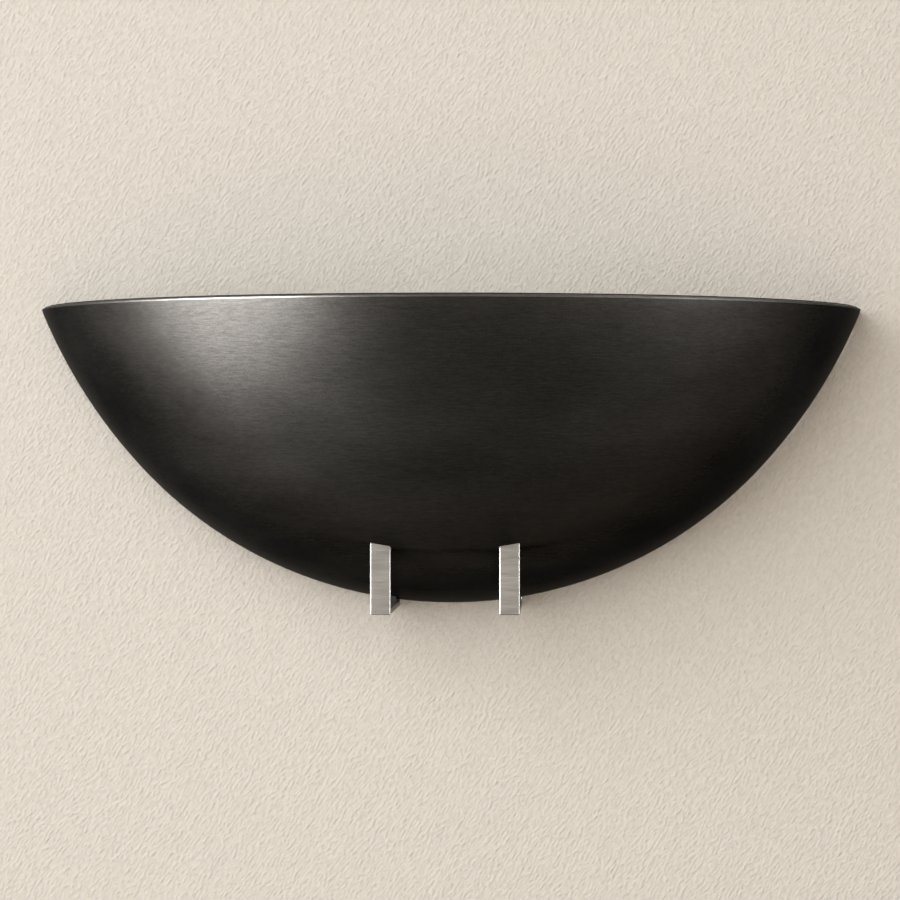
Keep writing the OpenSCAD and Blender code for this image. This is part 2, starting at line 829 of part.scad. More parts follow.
module contact_left() {
    color(brass) mirror([1, 0, 0]) {
        contact(weld_gap);
        on_lamp_axis(holder_in + throat + collar_l) {
            cylinder(r = contact_r, h = chamber_end - holder_in - throat - collar_l);
        }
    }
}

module contact_spring() {
    start = holder_in + throat + rest_gap + collar_l;
    length = chamber_end - start;
    color(zinc) on_lamp_axis(start) washer(collar_r, collar_r - spring_wire, length);
}

// ---- Lamp ----

module lamp_tube() {
    color(quartz) on_lamp_axis(-tube_l / 2) {
        difference() {
            union() {
                cylinder(r = tube_r, h = tube_l);
                translate([0, 0, -tube_neck]) cylinder(r1 = neck_r, r2 = tube_r, h = tube_neck);
                translate([0, 0, tube_l]) cylinder(r1 = tube_r, r2 = neck_r, h = tube_neck);
            }
            translate([0, 0, tube_wall]) cylinder(r = tube_r - tube_wall, h = tube_l - 2 * tube_wall);
            translate([0, 0, -tube_neck - 1]) cylinder(r = inner_lead_r, h = tube_l + 2 * tube_neck + 2);
        }
    }
}

module lamp_caps() {
    color(ceramic) for (m = [0, 1]) mirror([m, 0, 0]) on_lamp_axis(lamp_l / 2 - cap_l) {
        difference() {
            cylinder(r = cap_r, h = cap_l);
            translate([0, 0, cap_l - cap_recess]) {
                cylinder(r = contact_r + recess_gap, h = cap_recess + 1);
            }
            translate([0, 0, -1]) cylinder(r = inner_lead_r, h = cap_l);
        }
    }
}

module lamp_filament() {
    color(zinc) {
        on_lamp_axis(-coil_l / 2) cylinder(r = coil_r, h = coil_l);
        on_lamp_axis(-contact_x) cylinder(r = inner_lead_r, h = 2 * contact_x);
    }
}

// ---- Leads ----

module live_lead() {
    color("saddlebrown") lead(live_route, lead_r);
}

module neutral_lead() {
    color("steelblue") lead(neutral_route, lead_r);
}

module earth_lead() {
    color("yellowgreen") lead(earth_route, lead_r);
}

// ---- Bowl that lifts off ----

// One arc's part of the bowl, from the height start upwards, or downwards where low is -big
module turned_arc(middle, r, start, low) {
    rotate_extrude($fn = ball_fn) intersection() {
        translate(middle) circle(r = r, $fn = ball_fn);
        translate([0, start]) translate([0, low]) square(big);
    }
}

// The bowl as if it were solid, drawn in by inset
module bowl_form(inset) {
    start = flare_start[1] - inset * flare_way[1];
    turned_arc([0, ball_z], ball_r - inset, start, -big);
    turned_arc(flare_middle, flare_r - inset, start, 0);
}

module spun_sheet(inset, t, low, top) {
    difference() {
        intersection() {
            bowl_form(inset);
            translate([-big, -big - back_gap, low]) cube([2 * big, big, top - low]);
        }
        bowl_form(inset + t);
    }
}

module strap_slot(side) {
    front = strap_reach + strap_front_gap;
    rear = strap_reach - strap_t - strap_rear_gap;
    w = strap_w + 2 * strap_side_gap;
    translate([side * strap_x - w / 2, -front, leg_low]) cube([w, front - rear, -leg_low]);
}

module foot_notch(side) {
    w = strap_w + 2 * strap_side_gap;
    depth = plate_t + strap_t + strap_rear_gap;
    translate([side * strap_x - w / 2, -depth, leg_low]) cube([w, depth, -leg_low]);
}

module bowl_shell() {
    color(dark_bronze) difference() {
        spun_sheet(0, bowl_t, -big, rim_z);
        for (side = [-1, 1]) strap_slot(side);
        for (side = [-1, 1]) foot_notch(side);
    }
}

module rim_band() {
    color(rim_black) spun_sheet(bowl_t + spun_gap, band_t, rim_z - band_h, rim_z + band_proud);
}

module bar_notch(side) {
    r = stud_r + notch_gap;
    off_wall(side * stud_x, stud_z) {
        cylinder(r = r, h = big);
        translate([-r, -big, 0]) cube([2 * r, big, big]);
    }
}

module rear_bar() {
    inset = bowl_t + spun_gap;
    color(rim_black) difference() {
        intersection() {
            union() {
                translate([-big, -bar_front, bar_z - bar_h / 2]) cube([2 * big, bar_t, bar_h]);
                difference() {
                    translate([-big, -back_gap - bar_tab, bar_z - tab_h / 2]) {
                        cube([2 * big, bar_tab, tab_h]);
                    }
                    bowl_form(inset + bar_t);
                }
            }
            bowl_form(inset);
        }
        for (side = [-1, 1]) bar_notch(side);
    }
}

// ---- Thumb nuts ----

module clamp_washer(side) {
    color(zinc) off_wall(side * stud_x, stud_z) translate([0, 0, washer_out]) {
        washer(washer_r, stud_r + hole_gap, washer_t);
    }
}

module washer_left() {
    clamp_washer(-1);
}

module washer_right() {
    clamp_washer(1);
}

module thumb_nut(side) {
    color(nickel) off_wall(side * stud_x, stud_z) translate([0, 0, thumb_out]) difference() {
        union() {
            cylinder(r = washer_r - 1, h = thumb_foot);
            translate([0, 0, thumb_foot]) cylinder(r = thumb_r, h = thumb_len - thumb_foot);
        }
        translate([0, 0, -1]) cylinder(r = stud_r + pin_gap, h = thumb_len + 2);
        for (k = [0:knurls - 1]) rotate(360 * k / knurls) {
            translate([thumb_r + groove_r / 2, 0, -1]) {
                cylinder(r = groove_r, h = thumb_len + 2, $fn = 16);
            }
        }
    }
}

module thumb_nut_left() {
    thumb_nut(-1);
}

module thumb_nut_right() {
    thumb_nut(1);
}

// ---- Glass cover ----

module over_lamp(z) {
    translate([0, -lamp_out, z]) children();
}

module glass_frame() {
    knuckle_h = cover_top - clip_low - 1.6;
    rear = lamp_out - frame_w / 2;
    color(zinc) difference() {
        union() {
            over_lamp(clip_low) ring(frame_l, frame_w, frame_t, cover_top - clip_low);
            over_lamp(glass_top) ring(frame_l, frame_w, frame_t + seal_side + frame_lip, frame_t);
            for (s = [-1, 1]) along_x(s * hinge_x - knuckle_w / 2, s * hinge_x + knuckle_w / 2) {
                translate([-rear - 0.5, hinge_z - knuckle_h / 2]) {
                    square([hinge_back + 0.5, knuckle_h]);
                }
                translate([-hinge_out, hinge_z]) circle(knuckle_r);
            }
        }
        translate([-frame_l / 2, -hinge_out, hinge_z]) rotate([0, 90, 0]) {
            cylinder(r = hinge_pin_r + pin_gap, h = frame_l);
        }
    }
}

module safety_glass() {
    color(quartz) over_lamp(glass_low) linear_extrude(glass_t) {
        square([glass_l, glass_w], center = true);
    }
}

module glass_seal() {
    color(rubber_black) over_lamp(0) {
        translate([0, 0, seal_low]) ring(frame_in_l, frame_in_w, seal_side + frame_lip, seal_t);
        translate([0, 0, glass_low]) ring(frame_in_l, frame_in_w, seal_side, glass_t);
    }
}

module glass_clips() {
    clip_l = 12;
    color(zinc) for (sx = [-1, 1], sy = [-1, 1]) over_lamp(clip_low) {
        y = sy > 0 ? frame_in_w / 2 - frame_lip : -frame_in_w / 2;
        translate([sx * frame_l / 4 - clip_l / 2, y, 0]) cube([clip_l, frame_lip, clip_t]);
    }
}

wall_plate();
hanging_studs();
strap_left();
strap_right();
strap_rivets();
strap_pads();
cable_grommet();
cable_clamp();
cable_clamp_screws();
terminal_block();
terminal_screws();
terminal_block_screw();
earth_stud();
earth_washer();
earth_tag();
earth_nut();
lamp_carrier();
carrier_screws();
reflector();
reflector_rivets();
hinge_bracket();
hinge_pins();
lampholder_left();
lampholder_right();
lampholder_screws();
lampholder_nuts();
contact_left();
contact_right();
contact_spring();
lamp_tube();
lamp_caps();
lamp_filament();
live_lead();
neutral_lead();
earth_lead();
bowl_shell();
rim_band();
rear_bar();
washer_left();
washer_right();
thumb_nut_left();
thumb_nut_right();
glass_frame();
safety_glass();
glass_seal();
glass_clips();
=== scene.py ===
"""Looks of a half-bowl uplighter wall sconce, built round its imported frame.

Metres throughout. The wall is the plane y = 0, the light stands out along -Y and up is +Z.
"""

import json
import math

import bmesh
import bpy
from mathutils import Matrix, Vector


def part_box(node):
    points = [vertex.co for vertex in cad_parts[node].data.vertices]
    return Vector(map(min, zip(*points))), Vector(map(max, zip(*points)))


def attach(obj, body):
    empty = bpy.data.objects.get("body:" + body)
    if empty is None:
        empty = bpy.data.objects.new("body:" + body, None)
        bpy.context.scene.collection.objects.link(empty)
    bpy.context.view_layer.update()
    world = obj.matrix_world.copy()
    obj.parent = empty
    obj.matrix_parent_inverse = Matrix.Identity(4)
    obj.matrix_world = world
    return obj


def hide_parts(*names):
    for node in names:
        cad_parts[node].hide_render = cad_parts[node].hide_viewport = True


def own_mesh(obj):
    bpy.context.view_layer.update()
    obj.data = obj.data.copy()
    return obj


bl_info = {
    "name": "Half-bowl uplighter",
    "version": (1, 0, 0),
    "blender": (4, 5, 0),
    "location": "3D View > Sidebar > Uplighter",
    "description": "Builds the finished pieces of a half-bowl wall uplighter",
    "category": "Add Mesh",
}

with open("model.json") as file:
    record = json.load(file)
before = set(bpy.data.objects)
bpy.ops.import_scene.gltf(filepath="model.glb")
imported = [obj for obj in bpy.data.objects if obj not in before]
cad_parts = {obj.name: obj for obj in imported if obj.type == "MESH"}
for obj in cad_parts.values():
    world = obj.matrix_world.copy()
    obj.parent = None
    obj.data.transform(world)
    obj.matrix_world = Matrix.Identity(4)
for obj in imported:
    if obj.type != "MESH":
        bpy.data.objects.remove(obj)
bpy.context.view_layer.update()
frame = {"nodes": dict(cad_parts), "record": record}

MM = 0.001
BOWL_LOW, BOWL_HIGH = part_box("bowl_shell")
BAND_LOW, BAND_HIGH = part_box("rim_band")
STRAP_LOW, STRAP_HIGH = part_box("strap_right")
STUD_LOW, STUD_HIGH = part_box("hanging_studs")
STRAP_FOOT = 30 * MM  # the straps' upright foot, above their level leg
WALL_TOUCH = 2 * MM  # mirror rays shorter than this pass through the wall
SKIN_CHANGE = (0.75 * MM, 0.95 * MM)  # depth in the bowl's sheet where its inner skin begins
DAYLIGHT = (0.95, 0.97, 1)

X, Y, Z = Vector((1, 0, 0)), Vector((0, 1, 0)), Vector((0, 0, 1))
OUT = -Y


# ---- Sizes and colours that a user would change ----


def setting(name, description, default, unit="LENGTH"):
    return bpy.props.FloatProperty(name=name, description=description, default=default, unit=unit)


def colour_setting(name, description, default):
    return bpy.props.FloatVectorProperty(
        name=name, description=description, default=default, subtype="COLOR", min=0, max=1
    )


class BowlSettings(bpy.types.PropertyGroup):
    radius: setting("Rim radius", "Radius of the bowl at its rim", round(BOWL_HIGH.x, 4))
    depth: setting("Depth", "Depth of the bowl below its rim", BOWL_HIGH.z - BOWL_LOW.z)
    bottom_share: bpy.props.FloatProperty(
        name="Bottom share",
        description="Radius of the round bottom, as a share of a ball's through rim and lowest point",
        default=0.975,
    )
    flare_turn: bpy.props.FloatProperty(
        name="Flare turn",
        description="Turn from the lowest point to where the flatter side begins",
        default=math.radians(47),
        subtype="ANGLE",
    )
    sheet: setting("Sheet", "Thickness of the spun sheet", 1.2 * MM)
    rim_ease: setting("Rim ease", "Size of the rounding on the bowl's cut edges", 0.55 * MM)
    crease: setting("Crease depth", "Depth of the pressed crease above the straps", 0.55 * MM)
    colour: colour_setting("Bowl colour", "Colour of the dark brushed sheet", (0.045, 0.042, 0.038))
    inside_share: bpy.props.FloatProperty(
        name="Inside lightness",
        description="How much lighter the sheet is left on the bowl's inside, as a share of its colour",
        default=4.5,
        min=0,
    )
    # The bright line under the rim is partly a polished edge and partly a painted highlight: the light
    # caught on the edge is painted into the sheet's colour.
    polish_and_highlight: setting("Polished edge", "Height of the bright polished line under the rim", 0.7 * MM)
    lip: setting(
        "Lip", "Height by which the bowl's polished lip stands over the sheet's cut edge", 0.2 * MM
    )
    brush_depth: setting("Brush depth", "Depth of the brush lines", 0.02 * MM)


class StrapSettings(bpy.types.PropertyGroup):
    thickness: setting("Thickness", "Thickness of the flat strap", 3 * MM)
    ease: setting("Edge ease", "Size of the rounding along the strap's edges", 0.6 * MM)
    colour: colour_setting("Nickel colour", "Colour of the brushed nickel", (0.28, 0.263, 0.242))


class InsideSettings(bpy.types.PropertyGroup):
    ease: setting("Edge ease", "Size of the rounding on small sheet and cast pieces", 0.3 * MM)
    thread_pitch: setting("Thread pitch", "Pitch of the hanging studs' thread", 0.8 * MM)
    knurls: bpy.props.IntProperty(
        name="Knurls",
        description="Number of grooves round each thumb nut",
        default=20,
        min=8,
    )
    coil_turns: bpy.props.IntProperty(
        name="Coil turns",
        description="Turns of the lamp's filament coil",
        default=110,
        min=20,
    )


class StageSettings(bpy.types.PropertyGroup):
    wall_colour: colour_setting("Wall colour", "Colour of the plaster wall", (0.68, 0.632, 0.572))
    wall_dimming: bpy.props.FloatProperty(
        name="Wall dimming",
        description="How much darker the wall is in reflections",
        default=0.45,
        min=0,
        max=1,
    )
    key_power: setting("Key light", "Power of the big soft light at the upper left", 45, "POWER")
    fill_power: setting("Fill light", "Power of the big soft light at the lower right", 42, "POWER")
    window_power: setting("Left window", "Power of the tall light far to the left", 265, "POWER")
    side_power: setting("Right window", "Power of the tall light far to the right", 102, "POWER")
    fill: bpy.props.FloatProperty(
        name="Fill",
        description="Strength of the even light from all round",
        default=0.35,
    )


# ---- Node trees ----


def add(tree, kind, inputs=None, **settings):
    """A shader node with its settings made and its inputs filled or linked."""
    made = tree.nodes.new("ShaderNode" + kind)
    for name, value in settings.items():
        setattr(made, name, value)
    for name, value in (inputs or {}).items():
        if isinstance(value, bpy.types.NodeSocket):
            tree.links.new(value, made.inputs[name])
        else:
            made.inputs[name].default_value = value
    return made


def maths(tree, operation, first, second=0.0):
    return add(tree, "Math", {0: first, 1: second}, operation=operation).outputs[0]


def product(tree, first, *others):
    for other in others:
        first = maths(tree, "MULTIPLY", first, other)
    return first


def place(tree):
    """Object coordinates, which are the frame's own because every piece sits at the origin."""
    return add(tree, "TexCoord").outputs["Object"]


def stretched(tree, scale, source=None):
    return add(tree, "Mapping", {"Vector": source or place(tree), "Scale": scale}).outputs[0]


def noise(tree, vector, scale=1.0, detail=2.0, roughness=0.5):
    inputs = {"Vector": vector, "Scale": scale, "Detail": detail, "Roughness": roughness}
    return add(tree, "TexNoise", inputs).outputs["Fac"]


def speckle(tree, scale, detail):
    return noise(tree, place(tree), scale, detail)


def mapped(tree, value, start, end, low=0.0, high=1.0):
    """Low where the value is start, high where it is end, and even in between."""
    inputs = {"Value": value, "From Min": start, "From Max": end, "To Min": low, "To Max": high}
    return add(tree, "MapRange", inputs).outputs[0]


def between(tree, factor, low, high):
    """A noise factor's usual 0.3 to 0.7, stretched from low to high."""
    return mapped(tree, factor, 0.3, 0.7, low, high)


def tinted(tree, colour, amount):
    """A colour made lighter and darker by a factor round 1."""
    inputs = {0: tuple(colour), "Scale": amount}
    return add(tree, "VectorMath", inputs, operation="SCALE").outputs[0]


def bumped(tree, height, distance, strength=1.0, normal=None):
    inputs = {"Height": height, "Distance": distance, "Strength": strength}
    if normal is not None:
        inputs["Normal"] = normal
    return add(tree, "Bump", inputs).outputs[0]


def shader(name, **sockets):
    """A new material, its tree and its shader, with plain values on the shader's sockets."""
    material = bpy.data.materials.new(name)
    material.use_nodes = True
    tree = material.node_tree
    principled = tree.nodes["Principled BSDF"]
    for socket, value in sockets.items():
        if isinstance(value, (tuple, list)) and len(value) == 3:
            value = (*value, 1)
        principled.inputs[socket.replace("_", " ")].default_value = value
    return material, tree, principled


def fit(tree, principled, **sockets):
    for socket, output in sockets.items():
        tree.links.new(output, principled.inputs[socket.replace("_", " ")])


def worn(made, colour, wear, shades, roughness, **others):
    """The material of a new shader, its colour and roughness varied by a wear factor."""
    material, tree, principled = made
    shade = tinted(tree, colour, between(tree, wear, *shades))
    rough = between(tree, wear, *roughness)
    fit(tree, principled, Base_Color=shade, Roughness=rough, **others)
    return material


# ---- Finishes ----


def bowl_arcs():
    """(radius, middle) of the round bottom and of the flatter side, in the bowl's X-Z outline."""
    bowl = bpy.context.scene.bowl_settings
    plain = (bowl.radius**2 + bowl.depth**2) / (2 * bowl.depth)
    ball = bowl.bottom_share * plain
    middle = Vector((0, BOWL_HIGH.z + ball - bowl.depth))
    way = Vector((math.sin(bowl.flare_turn), -math.cos(bowl.flare_turn)))
    run = Vector((bowl.radius, BOWL_HIGH.z)) - middle - way * ball
    flare = -run.dot(run) / (2 * run.dot(way))
    return (ball, middle), (flare, middle + way * (ball - flare))


def outline(turn, inset=0.0):
    """The point of the bowl's outline whose normal is that far round from straight down."""
    side = turn > bpy.context.scene.bowl_settings.flare_turn
    radius, middle = bowl_arcs()[side]
    return middle + (radius - inset) * Vector((math.sin(turn), -math.cos(turn)))


def turn_at(height, inset=0.0):
    """The turn at which the flatter side reaches a height."""
    radius, middle = bowl_arcs()[1]
    return math.acos((middle.y - height) / (radius - inset))


def inner_side(tree, split):
    """1 on the bowl sheet's inner skin and 0 on its outer one, by the depth below the outline."""
    flat = add(tree, "CombineXYZ", {"X": split["X"], "Y": split["Y"]}).outputs[0]
    across = add(tree, "VectorMath", {0: flat}, operation="LENGTH").outputs["Value"]
    depths = []
    for radius, middle in bowl_arcs():
        aside = maths(tree, "SUBTRACT", across, middle.x)
        drop = maths(tree, "SUBTRACT", split["Z"], middle.y)
        arm = add(tree, "CombineXYZ", {"X": aside, "Y": drop}).outputs[0]
        reach = add(tree, "VectorMath", {0: arm}, operation="LENGTH").outputs["Value"]
        depths.append(maths(tree, "SUBTRACT", radius, reach))
    flare_start = outline(bpy.context.scene.bowl_settings.flare_turn).y
    high = maths(tree, "GREATER_THAN", split["Z"], flare_start)
    more = product(tree, high, maths(tree, "SUBTRACT", depths[1], depths[0]))
    depth = maths(tree, "ADD", depths[0], more)
    return mapped(tree, depth, *SKIN_CHANGE)


def brushed_bowl():
    """Dark sheet with fine brush lines that run round the bowl, level with its rim. The bright line
    under the rim is partly a polished edge and partly a painted highlight.
    """
    bowl = bpy.context.scene.bowl_settings
    radius, middle = bowl_arcs()[0]
    material, tree, metal = shader(
        "dark_brushed_sheet", Metallic=1.0, Specular_Tint=(0.25, 0.24, 0.23),
        Anisotropic=0.15, Anisotropic_Rotation=0.25,
    )
    split = add(tree, "SeparateXYZ", {0: place(tree)}).outputs
    drop = maths(tree, "SUBTRACT", middle.y, split["Z"])
    turn = maths(tree, "ARCCOSINE", maths(tree, "DIVIDE", drop, radius))
    arc = product(tree, turn, radius)
    spread = add(tree, "CombineXYZ", {"X": split["X"], "Y": split["Y"], "Z": arc}).outputs[0]
    fine = noise(tree, stretched(tree, (210, 210, 1900), spread), detail=3, roughness=0.6)
    broad = noise(tree, stretched(tree, (60, 60, 700), spread), detail=3)
    cloud = noise(tree, stretched(tree, (14, 14, 22), spread), detail=3)
    grain = speckle(tree, 1300, 2)
    lines = maths(tree, "ADD", product(tree, fine, 0.7), product(tree, broad, 0.3))
    lines = maths(tree, "ADD", lines, product(tree, grain, 0.25))
    # Painted highlight as well as polish: the sheet's colour is made 3.2 times lighter in a thin band
    # under the rim, standing in for light caught on the edge.
    edge = BOWL_HIGH.z + bowl.lip - bowl.polish_and_highlight
    polish_and_highlight_fade, polish_and_highlight_gain = 0.1 * MM, 3.2
    shade = product(
        tree,
        between(tree, fine, 0.78, 1.22),
        between(tree, cloud, 0.88, 1.12),
        between(tree, broad, 0.93, 1.07),
        between(tree, grain, 0.87, 1.13),
        mapped(tree, split["Z"], edge, edge + polish_and_highlight_fade, 1, polish_and_highlight_gain),
        maths(tree, "ADD", product(tree, inner_side(tree, split), bowl.inside_share), 1.0),
    )
    tangent = add(tree, "Tangent", direction_type="RADIAL", axis="Z").outputs[0]
    fit(
        tree, metal,
        Base_Color=tinted(tree, bowl.colour, shade),
        Roughness=between(tree, cloud, 0.35, 0.40),
        Normal=bumped(tree, lines, bowl.brush_depth),
        Tangent=tangent,
    )
    return material


def black_paint():
    made = shader("black_paint", Specular_IOR_Level=0.25)
    tree = made[1]
    dust = speckle(tree, 60, 4)
    peel = bumped(tree, speckle(tree, 1400, 2), 0.02 * MM)
    return worn(made, (0.0095, 0.009, 0.0085), dust, (0.8, 1.3), (0.5, 0.65), Normal=peel)


def satin_nickel():
    """Nickel plate brushed across the strap, so its lines run along X."""
    straps = bpy.context.scene.strap_settings
    material, tree, metal = shader("satin_nickel", Metallic=1.0)
    fine = noise(tree, stretched(tree, (120, 2000, 2000)), detail=2)
    broad = noise(tree, stretched(tree, (60, 600, 600)), detail=3)
    cloud = noise(tree, stretched(tree, (60, 60, 90)), detail=2)
    shade = product(
        tree,
        between(tree, fine, 0.9, 1.1),
        between(tree, broad, 0.93, 1.07),
        between(tree, cloud, 0.92, 1.08),
    )
    lines = maths(tree, "ADD", fine, broad)
    fit(
        tree, metal,
        Base_Color=tinted(tree, straps.colour, shade),
        Roughness=between(tree, broad, 0.36, 0.42),
        Normal=bumped(tree, lines, 0.005 * MM),
    )
    return material


def zinc_sheet():
    """Zinc-plated steel: faint crystals, rolling lines and dull patches."""
    material, tree, metal = shader("zinc_sheet", Metallic=1.0)
    crystals = add(tree, "TexVoronoi", {"Vector": place(tree), "Scale": 210}).outputs["Color"]
    crystal = add(tree, "SeparateXYZ", {0: crystals}).outputs[0]
    rolled = noise(tree, stretched(tree, (30, 900, 900)), detail=3)
    patch = speckle(tree, 45, 4)
    shade = product(tree, between(tree, patch, 0.88, 1.1), between(tree, crystal, 0.97, 1.03))
    fit(
        tree, metal,
        Base_Color=tinted(tree, (0.56, 0.57, 0.58), shade),
        Roughness=between(tree, patch, 0.34, 0.5),
        Normal=bumped(tree, rolled, 0.012 * MM),
    )
    return material


def peened_aluminium():
    """Bright reflector sheet hammered with shallow round dimples."""
    made = shader("peened_aluminium", Metallic=1.0)
    tree = made[1]
    inputs = {"Vector": place(tree), "Scale": 340, "Smoothness": 0.6}
    cells = add(tree, "TexVoronoi", inputs, feature="SMOOTH_F1").outputs["Distance"]
    smear = speckle(tree, 35, 4)
    dimples = bumped(tree, cells, 0.35 * MM, 0.6)
    return worn(made, (0.82, 0.83, 0.84), smear, (0.94, 1.03), (0.16, 0.26), Normal=dimples)


def glazed_ceramic():
    made = shader(
        "glazed_ceramic", Coat_Weight=0.25, Coat_Roughness=0.25, Subsurface_Weight=0.05
    )
    tree, clay = made[1:]
    clay.inputs["Subsurface Radius"].default_value = (1 * MM, 0.8 * MM, 0.6 * MM)
    mottle = speckle(tree, 160, 5)
    specks = bumped(tree, speckle(tree, 1500, 2), 0.02 * MM)
    return worn(made, (0.78, 0.74, 0.66), mottle, (0.94, 1.05), (0.38, 0.52), Normal=specks)


def contact_brass():
    made = shader("contact_brass", Metallic=1.0)
    tree = made[1]
    tarnish = speckle(tree, 260, 4)
    turned = bumped(tree, noise(tree, stretched(tree, (3000, 300, 300)), detail=2), 0.01 * MM)
    return worn(made, (0.60, 0.43, 0.17), tarnish, (0.82, 1.1), (0.26, 0.42), Normal=turned)


def black_rubber():
    made = shader("black_rubber", Specular_IOR_Level=0.35)
    tree = made[1]
    bloom = speckle(tree, 130, 5)
    skin = bumped(tree, speckle(tree, 2400, 2), 0.03 * MM)
    return worn(made, (0.022, 0.022, 0.021), bloom, (0.8, 1.35), (0.68, 0.82), Normal=skin)


def clear_glass(name, colour, grime):
    """Clear glass with a trace of uneven haze."""
    made = shader(name, Transmission_Weight=1.0, IOR=1.46)
    haze = speckle(made[1], 40, 4)
    return worn(made, colour, haze, (0.99, 1.01), (0.0, grime))


def tungsten():
    made = shader("tungsten", Metallic=1.0)
    drawn = speckle(made[1], 700, 3)
    return worn(made, (0.23, 0.22, 0.21), drawn, (0.85, 1.15), (0.35, 0.5))


def sleeve(name, colour):
    """Braided glass-fibre sleeve over a lead, dipped in silicone."""
    made = shader(name, Coat_Weight=0.2, Coat_Roughness=0.35)
    tree = made[1]
    inputs = {"Vector": place(tree), "Scale": 1500}
    strands = add(tree, "TexVoronoi", inputs, feature="F1").outputs["Distance"]
    braid = bumped(tree, strands, 0.12 * MM, 0.5)
    fade = speckle(tree, 80, 3)
    return worn(made, colour, fade, (0.86, 1.1), (0.45, 0.6), Normal=braid)


def plaster():
    """Trowelled plaster, shown only from the room's side of the wall."""
    stage = bpy.context.scene.stage_settings
    material, tree, wall = shader("plaster", Specular_IOR_Level=0.15)
    lean = (0, math.radians(-36), 0)
    slanted = add(tree, "Mapping", {"Vector": place(tree), "Rotation": lean}).outputs[0]
    strokes = noise(tree, stretched(tree, (760, 760, 400), slanted), detail=1)
    trowel = noise(tree, stretched(tree, (60, 60, 34), slanted), detail=6, roughness=0.65)
    sand = speckle(tree, 700, 1)
    patch = speckle(tree, 3.2, 3)
    shade = product(
        tree, between(tree, patch, 0.985, 1.015), between(tree, strokes, 0.955, 1.045)
    )
    rough = bumped(tree, trowel, 0.9 * MM, 0.5)
    rough = bumped(tree, strokes, 0.95 * MM, 1.0, rough)
    fit(
        tree, wall,
        Base_Color=tinted(tree, stage.wall_colour, shade),
        Roughness=between(tree, patch, 0.82, 0.9),
        Normal=bumped(tree, sand, 0.3 * MM, 0.6, rough),
    )
    path = add(tree, "LightPath").outputs
    glossy = path["Is Glossy Ray"]
    close = product(tree, glossy, maths(tree, "LESS_THAN", path["Ray Length"], WALL_TOUCH))
    unseen = maths(tree, "MAXIMUM", add(tree, "NewGeometry").outputs["Backfacing"], close)
    clear = add(tree, "BsdfTransparent").outputs[0]
    dark = add(tree, "BsdfDiffuse", {"Color": (0, 0, 0, 1)}).outputs[0]
    dimming = product(tree, glossy, stage.wall_dimming)
    seen = add(tree, "MixShader", {0: dimming, 1: wall.outputs[0], 2: dark}).outputs[0]
    mixed = add(tree, "MixShader", {0: unseen, 1: seen, 2: clear}).outputs[0]
    tree.links.new(mixed, tree.nodes["Material Output"].inputs["Surface"])
    return material


FINISHES = {
    "dark_brushed_aluminium": brushed_bowl,
    "black_paint": black_paint,
    "satin_nickel": satin_nickel,
    "zinc_plated_steel": zinc_sheet,
    "bright_aluminium": peened_aluminium,
    "white_ceramic": glazed_ceramic,
    "contact_brass": contact_brass,
    "black_rubber": black_rubber,
    "clear_quartz": lambda: clear_glass("clear_quartz", (0.97, 0.98, 0.99), 0.05),
    "safety_glass": lambda: clear_glass("toughened_glass", (0.94, 0.98, 0.965), 0.03),
    "tungsten": tungsten,
    "lead_brown": lambda: sleeve("sleeve_brown", (0.13, 0.055, 0.025)),
    "lead_blue": lambda: sleeve("sleeve_blue", (0.035, 0.11, 0.32)),
    "lead_green": lambda: sleeve("sleeve_green", (0.22, 0.34, 0.03)),
}
MADE = {}
SLOT_OF = {part["node"]: part["material_slot"] for part in frame["record"]["subparts"]}
BODY_OF = {
    node: body
    for body, nodes in frame["record"]["behaviour"]["bodies"].items()
    for node in nodes
}


def finish(slot):
    """The material of a record slot, made on first use."""
    if slot not in MADE:
        MADE[slot] = FINISHES[slot]()
    return MADE[slot]


# ---- Meshes ----


def add_modifier(obj, kind, **settings):
    modifier = obj.modifiers.new(kind.lower(), kind)
    for name, value in settings.items():
        setattr(modifier, name, value)


def soften(obj, ease, angle, segments):
    """Rounds the sharp edges and weights the normals towards the big faces."""
    if ease:
        add_modifier(
            obj, "BEVEL", width=ease, segments=segments, limit_method="ANGLE",
            angle_limit=math.radians(angle), use_clamp_overlap=True,
        )
    add_modifier(obj, "WEIGHTED_NORMAL", weight=50, keep_sharp=True)


def settle(obj):
    """Applies what modifiers the piece has."""
    depsgraph = bpy.context.evaluated_depsgraph_get()
    made = bpy.data.meshes.new_from_object(obj.evaluated_get(depsgraph))
    obj.modifiers.clear()
    obj.data = made


def add_object(name, data):
    obj = bpy.data.objects.new(name, data)
    bpy.context.scene.collection.objects.link(obj)
    return obj


def piece(name, bm, node, ease=0.0, angle=40, segments=2, wall=0.0):
    """Turns a bmesh into a finished piece that stands for a CAD node and rides with its body."""
    mesh = bpy.data.meshes.new(name)
    bm.to_mesh(mesh)
    bm.free()
    mesh.shade_smooth()
    obj = add_object(name, mesh)
    if wall:
        add_modifier(obj, "SOLIDIFY", thickness=wall, offset=-1, use_even_offset=True)
    soften(obj, ease, angle, segments)
    settle(obj)
    slot = SLOT_OF[node]
    obj.data.materials.append(finish(slot))
    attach(obj, BODY_OF[node])
    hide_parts(node)
    return obj


def eased(node, ease=None, angle=50, segments=2):
    """The CAD node's own shape with its edges rounded."""
    if ease is None:
        ease = bpy.context.scene.inside_settings.ease
    bm = bmesh.new()
    bm.from_mesh(frame["nodes"][node].data)
    bmesh.ops.remove_doubles(bm, verts=bm.verts, dist=0.002 * MM)
    bmesh.ops.dissolve_limit(
        bm, angle_limit=math.radians(1), verts=bm.verts, edges=bm.edges, delimit=set()
    )
    return piece(node + "_eased", bm, node, ease=ease, angle=angle, segments=segments)


